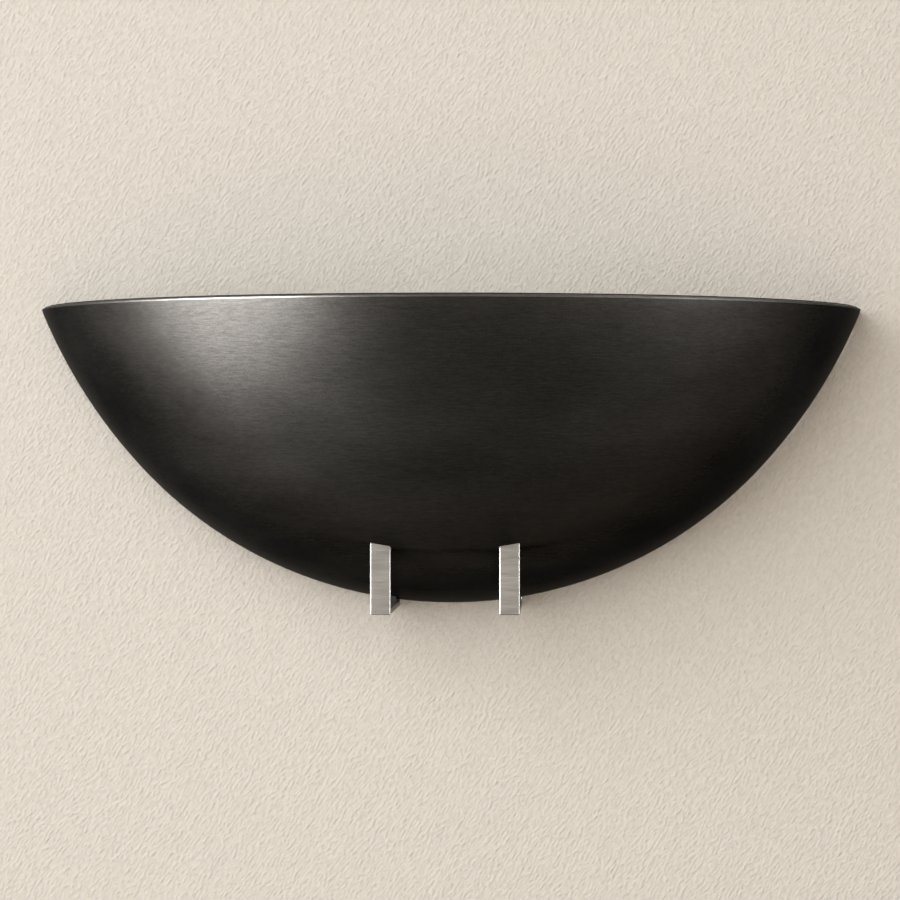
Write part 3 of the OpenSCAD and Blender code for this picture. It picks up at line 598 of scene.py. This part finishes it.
def spin(bm, places, at, along, turn, steps, merge):
    """Joins the places by edges and spins them about the line through at."""
    points = [bm.verts.new(point) for point in places]
    edges = [bm.edges.new(pair) for pair in zip(points, points[1:])]
    bmesh.ops.spin(
        bm, geom=points + edges, cent=at, axis=along, dvec=(0, 0, 0), angle=turn,
        steps=steps, use_merge=merge, use_duplicate=False,
    )


def lathe(bm, profile, at, along, steps):
    """Spins (radius, height) points a full turn about the line through at."""
    at = Vector(at)
    turned = Matrix.Translation(at) @ along.to_track_quat("Z", "Y").to_matrix().to_4x4()
    places = [turned @ Vector((r, 0, h)) for r, h in profile]
    spin(bm, places, at, along, math.tau, steps, True)


def closed(bm):
    bmesh.ops.remove_doubles(bm, verts=bm.verts, dist=0.001 * MM)
    bmesh.ops.recalc_face_normals(bm, faces=bm.faces)
    return bm


def steps_between(low, high, count):
    return [low + (high - low) * i / count for i in range(count)]


def spun_skin(turns, inset, cut, segments=240):
    """Half a turn of the bowl's skin, drawn in by inset, through those turns and cut at the wall."""
    bm = bmesh.new()
    points = [outline(turn, inset) for turn in turns]
    places = [(min(point.x, -BOWL_LOW.y), 0, point.y) for point in points]
    spin(bm, places, (0, 0, 0), Z, -math.pi, segments, False)
    bmesh.ops.remove_doubles(bm, verts=bm.verts, dist=0.005 * MM)
    everything = bm.verts[:] + bm.edges[:] + bm.faces[:]
    bmesh.ops.bisect_plane(bm, geom=everything, plane_co=(0, cut, 0), plane_no=Y, clear_outer=True)
    bmesh.ops.recalc_face_normals(bm, faces=bm.faces)
    sample = max(bm.faces, key=lambda f: -f.calc_center_median().y)
    if sample.normal.y > 0:
        bmesh.ops.reverse_faces(bm, faces=bm.faces)
    return bm


def open_window(bm, low, high):
    """Cuts the skin open between two corners, seen along Z."""

    def faces_within(margin):
        found = []
        for face in bm.faces:
            x, y, _ = face.calc_center_median()
            beside = low[0] - margin < x < high[0] + margin
            if beside and low[1] - margin < y < high[1] + margin:
                found.append(face)
        return found

    reach = 4 * MM
    for axis, value in ((X, low[0]), (X, high[0]), (Y, low[1]), (Y, high[1])):
        near = faces_within(reach)
        edges = list({e for f in near for e in f.edges})
        verts = list({v for f in near for v in f.verts})
        bmesh.ops.bisect_plane(
            bm, geom=verts + edges + near, plane_co=axis * value, plane_no=axis
        )
    bmesh.ops.delete(bm, geom=faces_within(0), context="FACES")


def smooth_step(low, high, value):
    t = min(1.0, max(0.0, (value - low) / (high - low)))
    return t * t * (3 - 2 * t)


def tube(bm, path, radius, sides):
    """A round tube swept along a path by moving one ring of points from step to step."""
    way = (path[1] - path[0]).normalized()
    turned = Matrix.Translation(path[0]) @ way.to_track_quat("Z", "Y").to_matrix().to_4x4()
    ring = bmesh.ops.create_circle(
        bm, cap_ends=False, segments=sides, radius=radius, matrix=turned
    )["verts"]
    edges = list({e for v in ring for e in v.link_edges})
    first = edges
    for i in range(1, len(path)):
        ahead = path[min(i + 1, len(path) - 1)] - path[i - 1]
        turn = way.rotation_difference(ahead.normalized()).to_matrix()
        way = ahead.normalized()
        made = bmesh.ops.extrude_edge_only(bm, edges=edges)["geom"]
        verts = [g for g in made if isinstance(g, bmesh.types.BMVert)]
        edges = [g for g in made if isinstance(g, bmesh.types.BMEdge)]
        bmesh.ops.rotate(bm, verts=verts, cent=path[i - 1], matrix=turn)
        bmesh.ops.translate(bm, verts=verts, vec=path[i] - path[i - 1])
    bmesh.ops.holes_fill(bm, edges=first + edges, sides=0)
    bmesh.ops.recalc_face_normals(bm, faces=bm.faces)


def coil_path(start, along, side, radius, length, turns, per_turn):
    """Points of a helix of that length and number of turns."""
    up = along.cross(side)
    count = int(turns * per_turn)
    for i in range(count + 1):
        t = i / count
        angle = math.tau * turns * t
        arm = side * (radius * math.cos(angle)) + up * (radius * math.sin(angle))
        yield start + along * (length * t) + arm


# ---- Operators: one for each piece or group of like pieces ----


class UPLIGHTER_OT_bowl(bpy.types.Operator):
    """Spin the half bowl, press its crease and cut its strap slots"""

    bl_idname = "uplighter.bowl"
    bl_label = "Bowl"

    slot_side = 0.4 * MM
    slot_front = 1.2 * MM
    slot_rear = 0.6 * MM
    crease_turns = (math.radians(24), math.radians(38))  # finer rows in between
    rows = (36, 42, 46)
    crease_side = 75 * MM
    crease_rear = -50 * MM
    crease_middle = 6 * MM
    crease_height = -43 * MM  # at its middle
    crease_rise = 5.6 * MM
    crease_bend = (18 * MM, 64 * MM)  # where it rises, aside of its middle
    crease_fade = (28 * MM, 66 * MM)  # where it fades out, aside of its middle
    crease_width = 7 * MM
    crease_heal = (8 * MM, 45 * MM)  # where the skin comes out again, below the line
    slope = 0.52  # drop for each length along the skin there

    def press_crease(self, bm, depth):
        """Draws the skin in below a curved line above the straps' ends, fading out all round."""
        for vert in bm.verts:
            x, z = vert.co.x, vert.co.z
            if vert.co.y > self.crease_rear or abs(x) > self.crease_side or z > 0:
                continue
            aside = abs(x - self.crease_middle)
            line = self.crease_height + self.crease_rise * smooth_step(*self.crease_bend, aside)
            below = (line - z) / self.slope
            if below < 0:
                continue
            drawn = smooth_step(0, self.crease_width, below)
            fade = 1 - smooth_step(*self.crease_fade, aside)
            heal = 1 - smooth_step(*self.crease_heal, below)
            vert.co -= vert.normal * depth * drawn * fade * heal

    def execute(self, context):
        bowl = context.scene.bowl_settings
        straps = context.scene.strap_settings
        rim_turn = turn_at(BOWL_HIGH.z + bowl.lip)
        stops = (0, *self.crease_turns, rim_turn)
        turns = []
        for start, end, count in zip(stops, stops[1:], self.rows):
            turns += steps_between(start, end, count)
        turns.append(rim_turn)
        bm = spun_skin(turns, 0, BOWL_HIGH.y)
        self.press_crease(bm, bowl.crease)
        for side in (-1, 1):
            edges = sorted((side * STRAP_LOW.x, side * STRAP_HIGH.x))
            low, high = edges[0] - self.slot_side, edges[1] + self.slot_side
            front = STRAP_LOW.y - self.slot_front
            rear = STRAP_LOW.y + straps.thickness + self.slot_rear
            open_window(bm, (low, front), (high, rear))
            foot = STRAP_HIGH.y - straps.thickness - self.slot_rear
            open_window(bm, (low, foot), (high, 0))
        piece("bowl", bm, "bowl_shell", ease=bowl.rim_ease, segments=3, wall=bowl.sheet)
        return {"FINISHED"}


class UPLIGHTER_OT_rim_band(bpy.types.Operator):
    """Spin the black stiffening band inside the rim"""

    bl_idname = "uplighter.rim_band"
    bl_label = "Rim band"

    thickness = 1.5 * MM
    weld_gap = 0.06 * MM
    ease = 0.25 * MM
    rows = 6

    def execute(self, context):
        inset = context.scene.bowl_settings.sheet + self.weld_gap
        low = turn_at(BAND_LOW.z, inset)
        rise = self.thickness * math.cos(turn_at(BAND_HIGH.z, inset))
        high = turn_at(BAND_HIGH.z - rise, inset)
        bm = spun_skin(steps_between(low, high, self.rows) + [high], inset, BAND_HIGH.y)
        piece("rim_ring", bm, "rim_band", ease=self.ease, wall=self.thickness)
        return {"FINISHED"}


class UPLIGHTER_OT_rear_bar(bpy.types.Operator):
    """Round the edges of the bar that closes the bowl at the wall"""

    bl_idname = "uplighter.rear_bar"
    bl_label = "Rear bar"

    def execute(self, context):
        eased("rear_bar", 0.35 * MM)
        return {"FINISHED"}


class UPLIGHTER_OT_straps(bpy.types.Operator):
    """Fold the two flat straps with eased edges and bends"""

    bl_idname = "uplighter.straps"
    bl_label = "Straps"

    bend_inside = 0.8 * MM
    near = 0.1 * MM  # an edge this close to the fold's height lies on it

    def execute(self, context):
        straps = context.scene.strap_settings
        t = straps.thickness
        front, rear, bottom = STRAP_LOW.y, STRAP_HIGH.y, STRAP_LOW.z
        foot_top = bottom + t + STRAP_FOOT
        for node in ("strap_left", "strap_right"):
            low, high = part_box(node)
            side = [
                (rear, foot_top), (rear, bottom), (front, bottom), (front, high.z),
                (front + t, high.z), (front + t, bottom + t), (rear - t, bottom + t),
                (rear - t, foot_top),
            ]
            bm = bmesh.new()
            ring = [bm.verts.new((low.x, y, z)) for y, z in side]
            end = bm.faces.new(ring)
            made = bmesh.ops.extrude_face_region(bm, geom=[end])["geom"]
            moved = [v for v in made if isinstance(v, bmesh.types.BMVert)]
            bmesh.ops.translate(bm, verts=moved, vec=(high.x - low.x, 0, 0))
            bmesh.ops.recalc_face_normals(bm, faces=bm.faces)
            inner = []
            for edge in bm.edges:
                a, b = edge.verts
                at_fold = abs(a.co.z - bottom - t) < self.near
                if at_fold and abs(a.co.x - b.co.x) > t / 2:
                    inner.append(edge)
            bmesh.ops.bevel(
                bm, geom=inner, offset=self.bend_inside, segments=4, profile=0.5,
                affect="EDGES", material=-1,
            )
            piece(node + "_flat", bm, node, ease=straps.ease, segments=3)
        return {"FINISHED"}


class UPLIGHTER_OT_strap_fixings(bpy.types.Operator):
    """Add the rivets through the straps' feet and the pads under the bowl"""

    bl_idname = "uplighter.strap_fixings"
    bl_label = "Strap fixings"

    rivet_drops = (5.5 * MM, 15.5 * MM)
    rivet = (
        (0, 0.55), (0.9, 0.48), (1.8, 0.3), (2.5, 0),
        (2.5, -0.3), (2, -0.5), (2, -4.5), (0, -4.5),
    )

    def execute(self, context):
        thickness = context.scene.strap_settings.thickness
        foot_top = STRAP_LOW.z + thickness + STRAP_FOOT
        middle = (STRAP_LOW.x + STRAP_HIGH.x) / 2
        face = STRAP_HIGH.y - thickness
        rivet = [(r * MM, h * MM) for r, h in self.rivet]
        bm = bmesh.new()
        for side in (-1, 1):
            for drop in self.rivet_drops:
                lathe(bm, rivet, (side * middle, face, foot_top - drop), OUT, 28)
        piece("strap_rivet_heads", closed(bm), "strap_rivets")
        eased("strap_pads", 0.2 * MM)
        return {"FINISHED"}


class UPLIGHTER_OT_wall_plate(bpy.types.Operator):
    """Round the wall plate's edges and cut the hanging studs' threads"""

    bl_idname = "uplighter.wall_plate"
    bl_label = "Wall plate"

    thread_start = 1 * MM
    thread_depth = 0.42 * MM
    plain_length = 2.4 * MM  # at the two ends of a stud's thread
    end_chamfer = 0.8 * MM

    def execute(self, context):
        eased("wall_plate", 0.2 * MM, angle=60)
        pitch = context.scene.inside_settings.thread_pitch
        radius = (STUD_HIGH.z - STUD_LOW.z) / 2
        length = STUD_HIGH.y - STUD_LOW.y
        count = int((length - self.plain_length) / pitch)
        profile = [(0, 0), (radius, 0), (radius, self.thread_start)]
        for i in range(count):
            h = self.thread_start + i * pitch
            profile += [(radius - self.thread_depth, h + 0.5 * pitch), (radius, h + pitch)]
        profile += [(radius - self.end_chamfer, length), (0, length)]
        bm = bmesh.new()
        for x in (STUD_LOW.x + radius, STUD_HIGH.x - radius):
            middle = (STUD_LOW.z + STUD_HIGH.z) / 2
            lathe(bm, profile, (x, STUD_HIGH.y, middle), OUT, 36)
        piece("threaded_studs", closed(bm), "hanging_studs")
        return {"FINISHED"}


class UPLIGHTER_OT_cable_entry(bpy.types.Operator):
    """Mould the cable grommet and round the clamp and its screws"""

    bl_idname = "uplighter.cable_entry"
    bl_label = "Cable entry"

    def execute(self, context):
        low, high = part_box("cable_grommet")
        middle = (low + high) / 2
        bore, neck, flange = 5 * MM, 6.5 * MM, 8.5 * MM
        depth = high.y - low.y
        profile = [
            (neck, 0), (neck, depth / 2), (flange - 0.4 * MM, depth / 2),
            (flange, depth / 2 + 0.35 * MM), (flange - 0.2 * MM, depth - 0.4 * MM),
            (flange - 0.8 * MM, depth - 0.05 * MM), (bore + 1 * MM, depth),
            (bore + 0.3 * MM, depth - 0.3 * MM), (bore, depth - 0.9 * MM),
            (bore, 0.4 * MM), (bore + 0.3 * MM, 0), (neck, 0),
        ]
        bm = bmesh.new()
        lathe(bm, profile, (middle.x, high.y, middle.z), OUT, 56)
        piece("moulded_grommet", closed(bm), "cable_grommet")
        eased("cable_clamp")
        eased("cable_clamp_screws", 0.18 * MM)
        return {"FINISHED"}


class UPLIGHTER_OT_terminals(bpy.types.Operator):
    """Round the terminal block, its screws and the earth point"""

    bl_idname = "uplighter.terminals"
    bl_label = "Terminals"

    fixings = (
        "terminal_screws", "terminal_block_screw", "earth_stud",
        "earth_washer", "earth_tag", "earth_nut",
    )

    def execute(self, context):
        eased("terminal_block", 0.6 * MM, segments=3)
        for node in self.fixings:
            eased(node, 0.15 * MM)
        return {"FINISHED"}


class UPLIGHTER_OT_leads(bpy.types.Operator):
    """Run the three sleeved leads inside the bowl"""

    bl_idname = "uplighter.leads"
    bl_label = "Leads"

    radius = 1.5 * MM
    routes = {
        "live_lead": (
            (-44, -10, -14), (-48, -10, -14), (-52, -10, -14), (-64, -20, -9), (-78, -38, 0),
            (-86, -50, 9), (-88, -58, 15), (-81.8, -58, 15), (-77.8, -58, 15),
        ),
        "neutral_lead": (
            (-14, -12, -14), (-12, -12, -14), (-10, -12, -14), (4, -24, -10), (28, -30, -9),
            (54, -36, -7), (76, -44, 1), (87, -52, 9), (89, -58, 15), (81.8, -58, 15),
            (77.8, -58, 15),
        ),
        "earth_lead": (
            (-14, -8, -18), (-11, -8, -18), (-8, -8, -18), (0, -9.5, -23.5), (12, -9, -25.5),
            (20, -6.5, -21), (25.5, -3.42, -14), (27.5, -3.42, -14), (29.5, -3.42, -14),
        ),
    }

    @staticmethod
    def along(points, per_span=8):
        """Points of a smooth curve through the route's own points."""
        padded = [points[0], *points, points[-1]]
        for a, b, c, d in zip(padded, padded[1:], padded[2:], padded[3:]):
            for i in range(per_span):
                t = i / per_span
                yield 0.5 * (
                    2 * b + (c - a) * t + (2 * a - 5 * b + 4 * c - d) * t**2
                    + (3 * b - a - 3 * c + d) * t**3
                )
        yield points[-1]

    def execute(self, context):
        for node, route in self.routes.items():
            route = [Vector(p) * MM for p in route]
            bm = bmesh.new()
            tube(bm, list(self.along(route)), self.radius, 14)
            piece(node + "_sleeve", bm, node)
        return {"FINISHED"}


class UPLIGHTER_OT_carrier(bpy.types.Operator):
    """Round the lamp carrier and its screws"""

    bl_idname = "uplighter.carrier"
    bl_label = "Lamp carrier"

    def execute(self, context):
        eased("lamp_carrier", 0.3 * MM)
        eased("carrier_screws", 0.25 * MM)
        return {"FINISHED"}


class UPLIGHTER_OT_reflector(bpy.types.Operator):
    """Round the edges of the peened trough reflector and its rivets"""

    bl_idname = "uplighter.reflector"
    bl_label = "Reflector"

    def execute(self, context):
        eased("reflector", 0.15 * MM, angle=60)
        eased("reflector_rivets", 0.2 * MM)
        return {"FINISHED"}


class UPLIGHTER_OT_lampholders(bpy.types.Operator):
    """Press the ceramic lampholders, their fixings, contacts and spring"""

    bl_idname = "uplighter.lampholders"
    bl_label = "Lampholders"

    spring_wire = 0.35 * MM
    spring_turns = 7
    spring_pressed = 4 / 7  # its length when pressed, as a share of its length at rest

    def execute(self, context):
        for node in ("lampholder_left", "lampholder_right"):
            eased(node, 0.9 * MM, segments=3, angle=60)
        for node in ("lampholder_screws", "lampholder_nuts"):
            eased(node, 0.2 * MM)
        for node in ("contact_left", "contact_right"):
            eased(node, 0.35 * MM)
        low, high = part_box("contact_spring")
        middle = (low + high) / 2
        radius = (high.z - low.z) / 2 - self.spring_wire
        start = Vector((low.x + self.spring_wire, middle.y, middle.z))
        length = high.x - low.x - 2 * self.spring_wire
        bm = bmesh.new()
        path = list(coil_path(start, X, Y, radius, length, self.spring_turns, 20))
        tube(bm, path, self.spring_wire, 8)
        coil = piece("coiled_contact_spring", bm, "contact_spring")
        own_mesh(coil)
        return {"FINISHED"}


class UPLIGHTER_OT_lamp(bpy.types.Operator):
    """Draw the quartz tube with its coil and caps"""

    bl_idname = "uplighter.lamp"
    bl_label = "Lamp"

    wall, neck, slim = 1.1 * MM, 5 * MM, 2.6 * MM
    coil_length = 72 * MM
    coil_radius = 0.6 * MM
    wire = 0.12 * MM
    lead_radius = 0.3 * MM
    supports = 4
    support_reach = 4.1 * MM
    support_wire = 0.1 * MM

    def quartz_tube(self, middle, half, radius):
        """The pinched tube: an outer skin, and an inner one whose faces look inwards."""
        outer = [
            (0.4 * MM, -half), (self.slim, -half), (self.slim + 0.2 * MM, -half + 1.2 * MM),
            (radius - 1.2 * MM, -half + 3 * MM), (radius - 0.2 * MM, -half + 4.6 * MM),
            (radius, -half + self.neck + 1 * MM),
        ]
        outer += [(r, -h) for r, h in reversed(outer)]
        hollow = radius - self.wall
        start = -half + self.neck
        inner = [
            (0, start + 0.6 * MM), (hollow * 0.55, start + 1 * MM),
            (hollow * 0.9, start + 2.2 * MM), (hollow, start + 4 * MM),
        ]
        inner += [(r, -h) for r, h in reversed(inner)]
        bm = bmesh.new()
        lathe(bm, inner, middle, X, 48)
        closed(bm)
        bmesh.ops.reverse_faces(bm, faces=bm.faces)
        shell = bmesh.new()
        lathe(shell, outer, middle, X, 48)
        closed(shell)
        mesh = bpy.data.meshes.new("tube_shell")
        shell.to_mesh(mesh)
        shell.free()
        bm.from_mesh(mesh)
        bpy.data.meshes.remove(mesh)
        piece("quartz_tube", bm, "lamp_tube")

    def filament(self, middle, turns):
        """The coiled wire, its straight ends and the rings that hold it off the quartz."""
        half = self.coil_length / 2
        start = middle - X * half
        helix = coil_path(start, X, Y, self.coil_radius - self.wire, self.coil_length, turns, 10)
        bm = bmesh.new()
        tube(bm, list(helix), self.wire, 4)
        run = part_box("lamp_filament")[1].x - middle.x - half
        lead = [(0, 0), (self.lead_radius, 0), (self.lead_radius, run), (0, run)]
        for side in (-1, 1):
            lathe(bm, lead, middle + X * (side * half), X * side, 12)
        angles = [math.tau * k / 24 for k in range(25)]
        reach = self.support_reach
        for i in range(1, self.supports + 1):
            at = start + X * (self.coil_length * i / (self.supports + 1))
            ring = [at + Y * (reach * math.cos(a)) + Z * (reach * math.sin(a)) for a in angles]
            tube(bm, ring, self.support_wire, 5)
            stem = [at + Z * 0.4 * MM, at + Z * 2.2 * MM, at + Z * reach]
            tube(bm, stem, self.support_wire, 5)
        piece("filament_coil", bm, "lamp_filament")

    def execute(self, context):
        low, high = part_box("lamp_tube")
        middle = (low + high) / 2
        self.quartz_tube(middle, high.x - middle.x, (high.z - low.z) / 2)
        self.filament(middle, context.scene.inside_settings.coil_turns)
        eased("lamp_caps", 0.5 * MM, segments=3, angle=60)
        return {"FINISHED"}


class UPLIGHTER_OT_hinges(bpy.types.Operator):
    """Round the hinge bracket and its pins"""

    bl_idname = "uplighter.hinges"
    bl_label = "Hinges"

    def execute(self, context):
        eased("hinge_bracket", 0.3 * MM, angle=60)
        eased("hinge_pins", 0.3 * MM, segments=3, angle=60)
        return {"FINISHED"}


class UPLIGHTER_OT_glass_cover(bpy.types.Operator):
    """Round the glass cover's frame, glass, seal and clips"""

    bl_idname = "uplighter.glass_cover"
    bl_label = "Glass cover"

    def execute(self, context):
        eased("glass_frame", 0.35 * MM, segments=3, angle=60)
        eased("safety_glass", 0.4 * MM, segments=3)
        eased("glass_seal", 0.2 * MM)
        eased("glass_clips", 0.1 * MM)
        return {"FINISHED"}


class UPLIGHTER_OT_thumb_nuts(bpy.types.Operator):
    """Turn and knurl the thumb nuts and round their washers"""

    bl_idname = "uplighter.thumb_nuts"
    bl_label = "Thumb nuts"

    groove = 0.45 * MM
    foot = 1.5 * MM
    foot_radius = 6 * MM
    bore = 2.55 * MM
    chamfer = 0.6 * MM
    recess = 0.7 * MM

    def execute(self, context):
        knurls = context.scene.inside_settings.knurls
        for node in ("thumb_nut_left", "thumb_nut_right"):
            low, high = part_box(node)
            middle = (low + high) / 2
            radius = (high.z - low.z) / 2
            length = high.y - low.y
            floor = length - self.recess
            rim = radius - self.chamfer
            profile = [
                (self.bore, 0), (self.foot_radius, 0), (self.foot_radius, self.foot - 0.3 * MM),
                (self.foot_radius + 0.3 * MM, self.foot), (rim, self.foot),
                (radius, self.foot + self.chamfer), (radius, length / 2),
                (radius, length - self.chamfer), (rim, length), (5.2 * MM, length),
                (4.8 * MM, floor), (self.bore + 0.6 * MM, floor),
                (self.bore, floor - 0.6 * MM), (self.bore, 0),
            ]
            bm = bmesh.new()
            at = Vector((middle.x, high.y, middle.z))
            lathe(bm, profile, at, OUT, knurls * 8)
            for vert in bm.verts:
                arm = Vector((vert.co.x - at.x, 0, vert.co.z - at.z))
                if arm.length > radius - self.chamfer / 2:
                    wave = math.cos(knurls * math.atan2(arm.z, arm.x))
                    vert.co -= arm.normalized() * self.groove * max(0.0, 0.2 + 0.8 * wave)
            piece(node + "_knurled", closed(bm), node)
        for node in ("washer_left", "washer_right"):
            eased(node, 0.25 * MM, angle=60)
        return {"FINISHED"}


class UPLIGHTER_OT_stage(bpy.types.Operator):
    """Set up the plain wall, soft lights, world and camera"""

    bl_idname = "uplighter.stage"
    bl_label = "Stage"

    wall_gap = 0.4 * MM
    wall_half = 5
    lens = 150.9
    camera_at = (0.0543, -1.852, 0.0022)
    camera_turn = math.radians(1.7)
    room_colour = (0.66, 0.62, 0.565, 1)
    floor_strength, ceiling_strength = 0.24, 1.25
    floor_fade = (-1.0, -0.2)  # from straight down to nearly level
    lights = (  # name, its power, azimuth, elevation, distance, size, colour, rays without it
        ("key", "key_power", -28, 15, 2.4, (2.05, 2.05), (0.92, 0.965, 1), "glossy"),
        ("fill", "fill_power", -2, -2, 3.0, (2.8, 2.8), (1, 0.88, 0.74), "glossy"),
        ("left_window", "window_power", -63, -8, 2.2, (1.8, 2.7), DAYLIGHT, "diffuse"),
        ("right_window", "side_power", 69, 9, 2.2, (0.3, 1.9), DAYLIGHT, "diffuse"),
    )

    def wall(self):
        mesh = bpy.data.meshes.new("room_wall")
        bm = bmesh.new()
        upright = Matrix.Rotation(math.pi / 2, 4, "X")
        turned = Matrix.Translation((0, self.wall_gap, 0)) @ upright
        bmesh.ops.create_grid(bm, x_segments=1, y_segments=1, size=self.wall_half, matrix=turned)
        bm.to_mesh(mesh)
        bm.free()
        mesh.materials.append(plaster())
        wall = add_object("room_wall", mesh)
        wall.visible_shadow = False
        wall.visible_diffuse = False

    def lamp(self, name, power, azimuth, elevation, distance, size, colour):
        """A soft light turned to the origin, placed by its angles in degrees from straight ahead."""
        light = bpy.data.lights.new(name, "AREA")
        light.shape = "RECTANGLE"
        light.size, light.size_y = size
        light.energy = power
        light.color = colour
        obj = add_object(name, light)
        a, e = math.radians(azimuth), math.radians(elevation)
        way = Vector((math.sin(a) * math.cos(e), -math.cos(a) * math.cos(e), math.sin(e)))
        obj.location = way * distance
        obj.rotation_euler = way.to_track_quat("Z", "Y").to_euler()
        return obj

    def world(self, fill):
        world = bpy.data.worlds.new("plain_room")
        world.use_nodes = True
        tree = world.node_tree
        back = tree.nodes["Background"]
        path = add(tree, "LightPath").outputs
        ways = add(tree, "TexCoord").outputs["Generated"]
        height = add(tree, "SeparateXYZ", {0: ways}).outputs[2]
        dim = mapped(tree, height, *self.floor_fade, self.floor_strength, self.ceiling_strength)
        shine = maths(tree, "MAXIMUM", path["Is Glossy Ray"], path["Is Transmission Ray"])
        lit = maths(
            tree, "MAXIMUM", product(tree, shine, dim), product(tree, path["Is Diffuse Ray"], fill)
        )
        strength = maths(tree, "MAXIMUM", path["Is Camera Ray"], lit)
        back.inputs["Color"].default_value = self.room_colour
        tree.links.new(strength, back.inputs["Strength"])
        bpy.context.scene.world = world

    def camera(self):
        data = bpy.data.cameras.new("camera")
        data.lens = self.lens
        camera = add_object("camera", data)
        camera.location = self.camera_at
        camera.rotation_euler = (math.pi / 2, 0, self.camera_turn)
        bpy.context.scene.camera = camera

    def execute(self, context):
        stage = context.scene.stage_settings
        self.wall()
        for name, power, *placing, rays in self.lights:
            light = self.lamp(name, getattr(stage, power), *placing)
            setattr(light, "visible_" + rays, False)
        self.world(stage.fill)
        self.camera()
        context.scene.view_settings.view_transform = "Standard"
        return {"FINISHED"}


PIECES = (
    UPLIGHTER_OT_bowl,
    UPLIGHTER_OT_rim_band,
    UPLIGHTER_OT_rear_bar,
    UPLIGHTER_OT_straps,
    UPLIGHTER_OT_strap_fixings,
    UPLIGHTER_OT_wall_plate,
    UPLIGHTER_OT_cable_entry,
    UPLIGHTER_OT_terminals,
    UPLIGHTER_OT_leads,
    UPLIGHTER_OT_carrier,
    UPLIGHTER_OT_reflector,
    UPLIGHTER_OT_lampholders,
    UPLIGHTER_OT_lamp,
    UPLIGHTER_OT_hinges,
    UPLIGHTER_OT_glass_cover,
    UPLIGHTER_OT_thumb_nuts,
    UPLIGHTER_OT_stage,
)
SETTINGS = {
    "bowl_settings": BowlSettings,
    "strap_settings": StrapSettings,
    "inside_settings": InsideSettings,
    "stage_settings": StageSettings,
}


class UPLIGHTER_PT_panel(bpy.types.Panel):
    """Sizes, colours and pieces of the uplighter"""

    bl_idname = "UPLIGHTER_PT_panel"
    bl_label = "Uplighter"
    bl_space_type = "VIEW_3D"
    bl_region_type = "UI"
    bl_category = "Uplighter"

    def draw(self, context):
        for name, group in SETTINGS.items():
            box = self.layout.box()
            for prop in group.__annotations__:
                box.prop(getattr(context.scene, name), prop)
        for operator in PIECES:
            self.layout.operator(operator.bl_idname)


def register():
    for name, group in SETTINGS.items():
        bpy.utils.register_class(group)
        setattr(bpy.types.Scene, name, bpy.props.PointerProperty(type=group))
    for operator in PIECES:
        bpy.utils.register_class(operator)
    bpy.utils.register_class(UPLIGHTER_PT_panel)


def unregister():
    bpy.utils.unregister_class(UPLIGHTER_PT_panel)
    for operator in reversed(PIECES):
        bpy.utils.unregister_class(operator)
    for name, group in SETTINGS.items():
        delattr(bpy.types.Scene, name)
        bpy.utils.unregister_class(group)


def main():
    register()
    for operator in PIECES:
        group, name = operator.bl_idname.split(".")
        if getattr(getattr(bpy.ops, group), name)() != {"FINISHED"}:
            raise RuntimeError(f"{operator.bl_idname} did not finish")


if __name__ == "__main__":
    main()
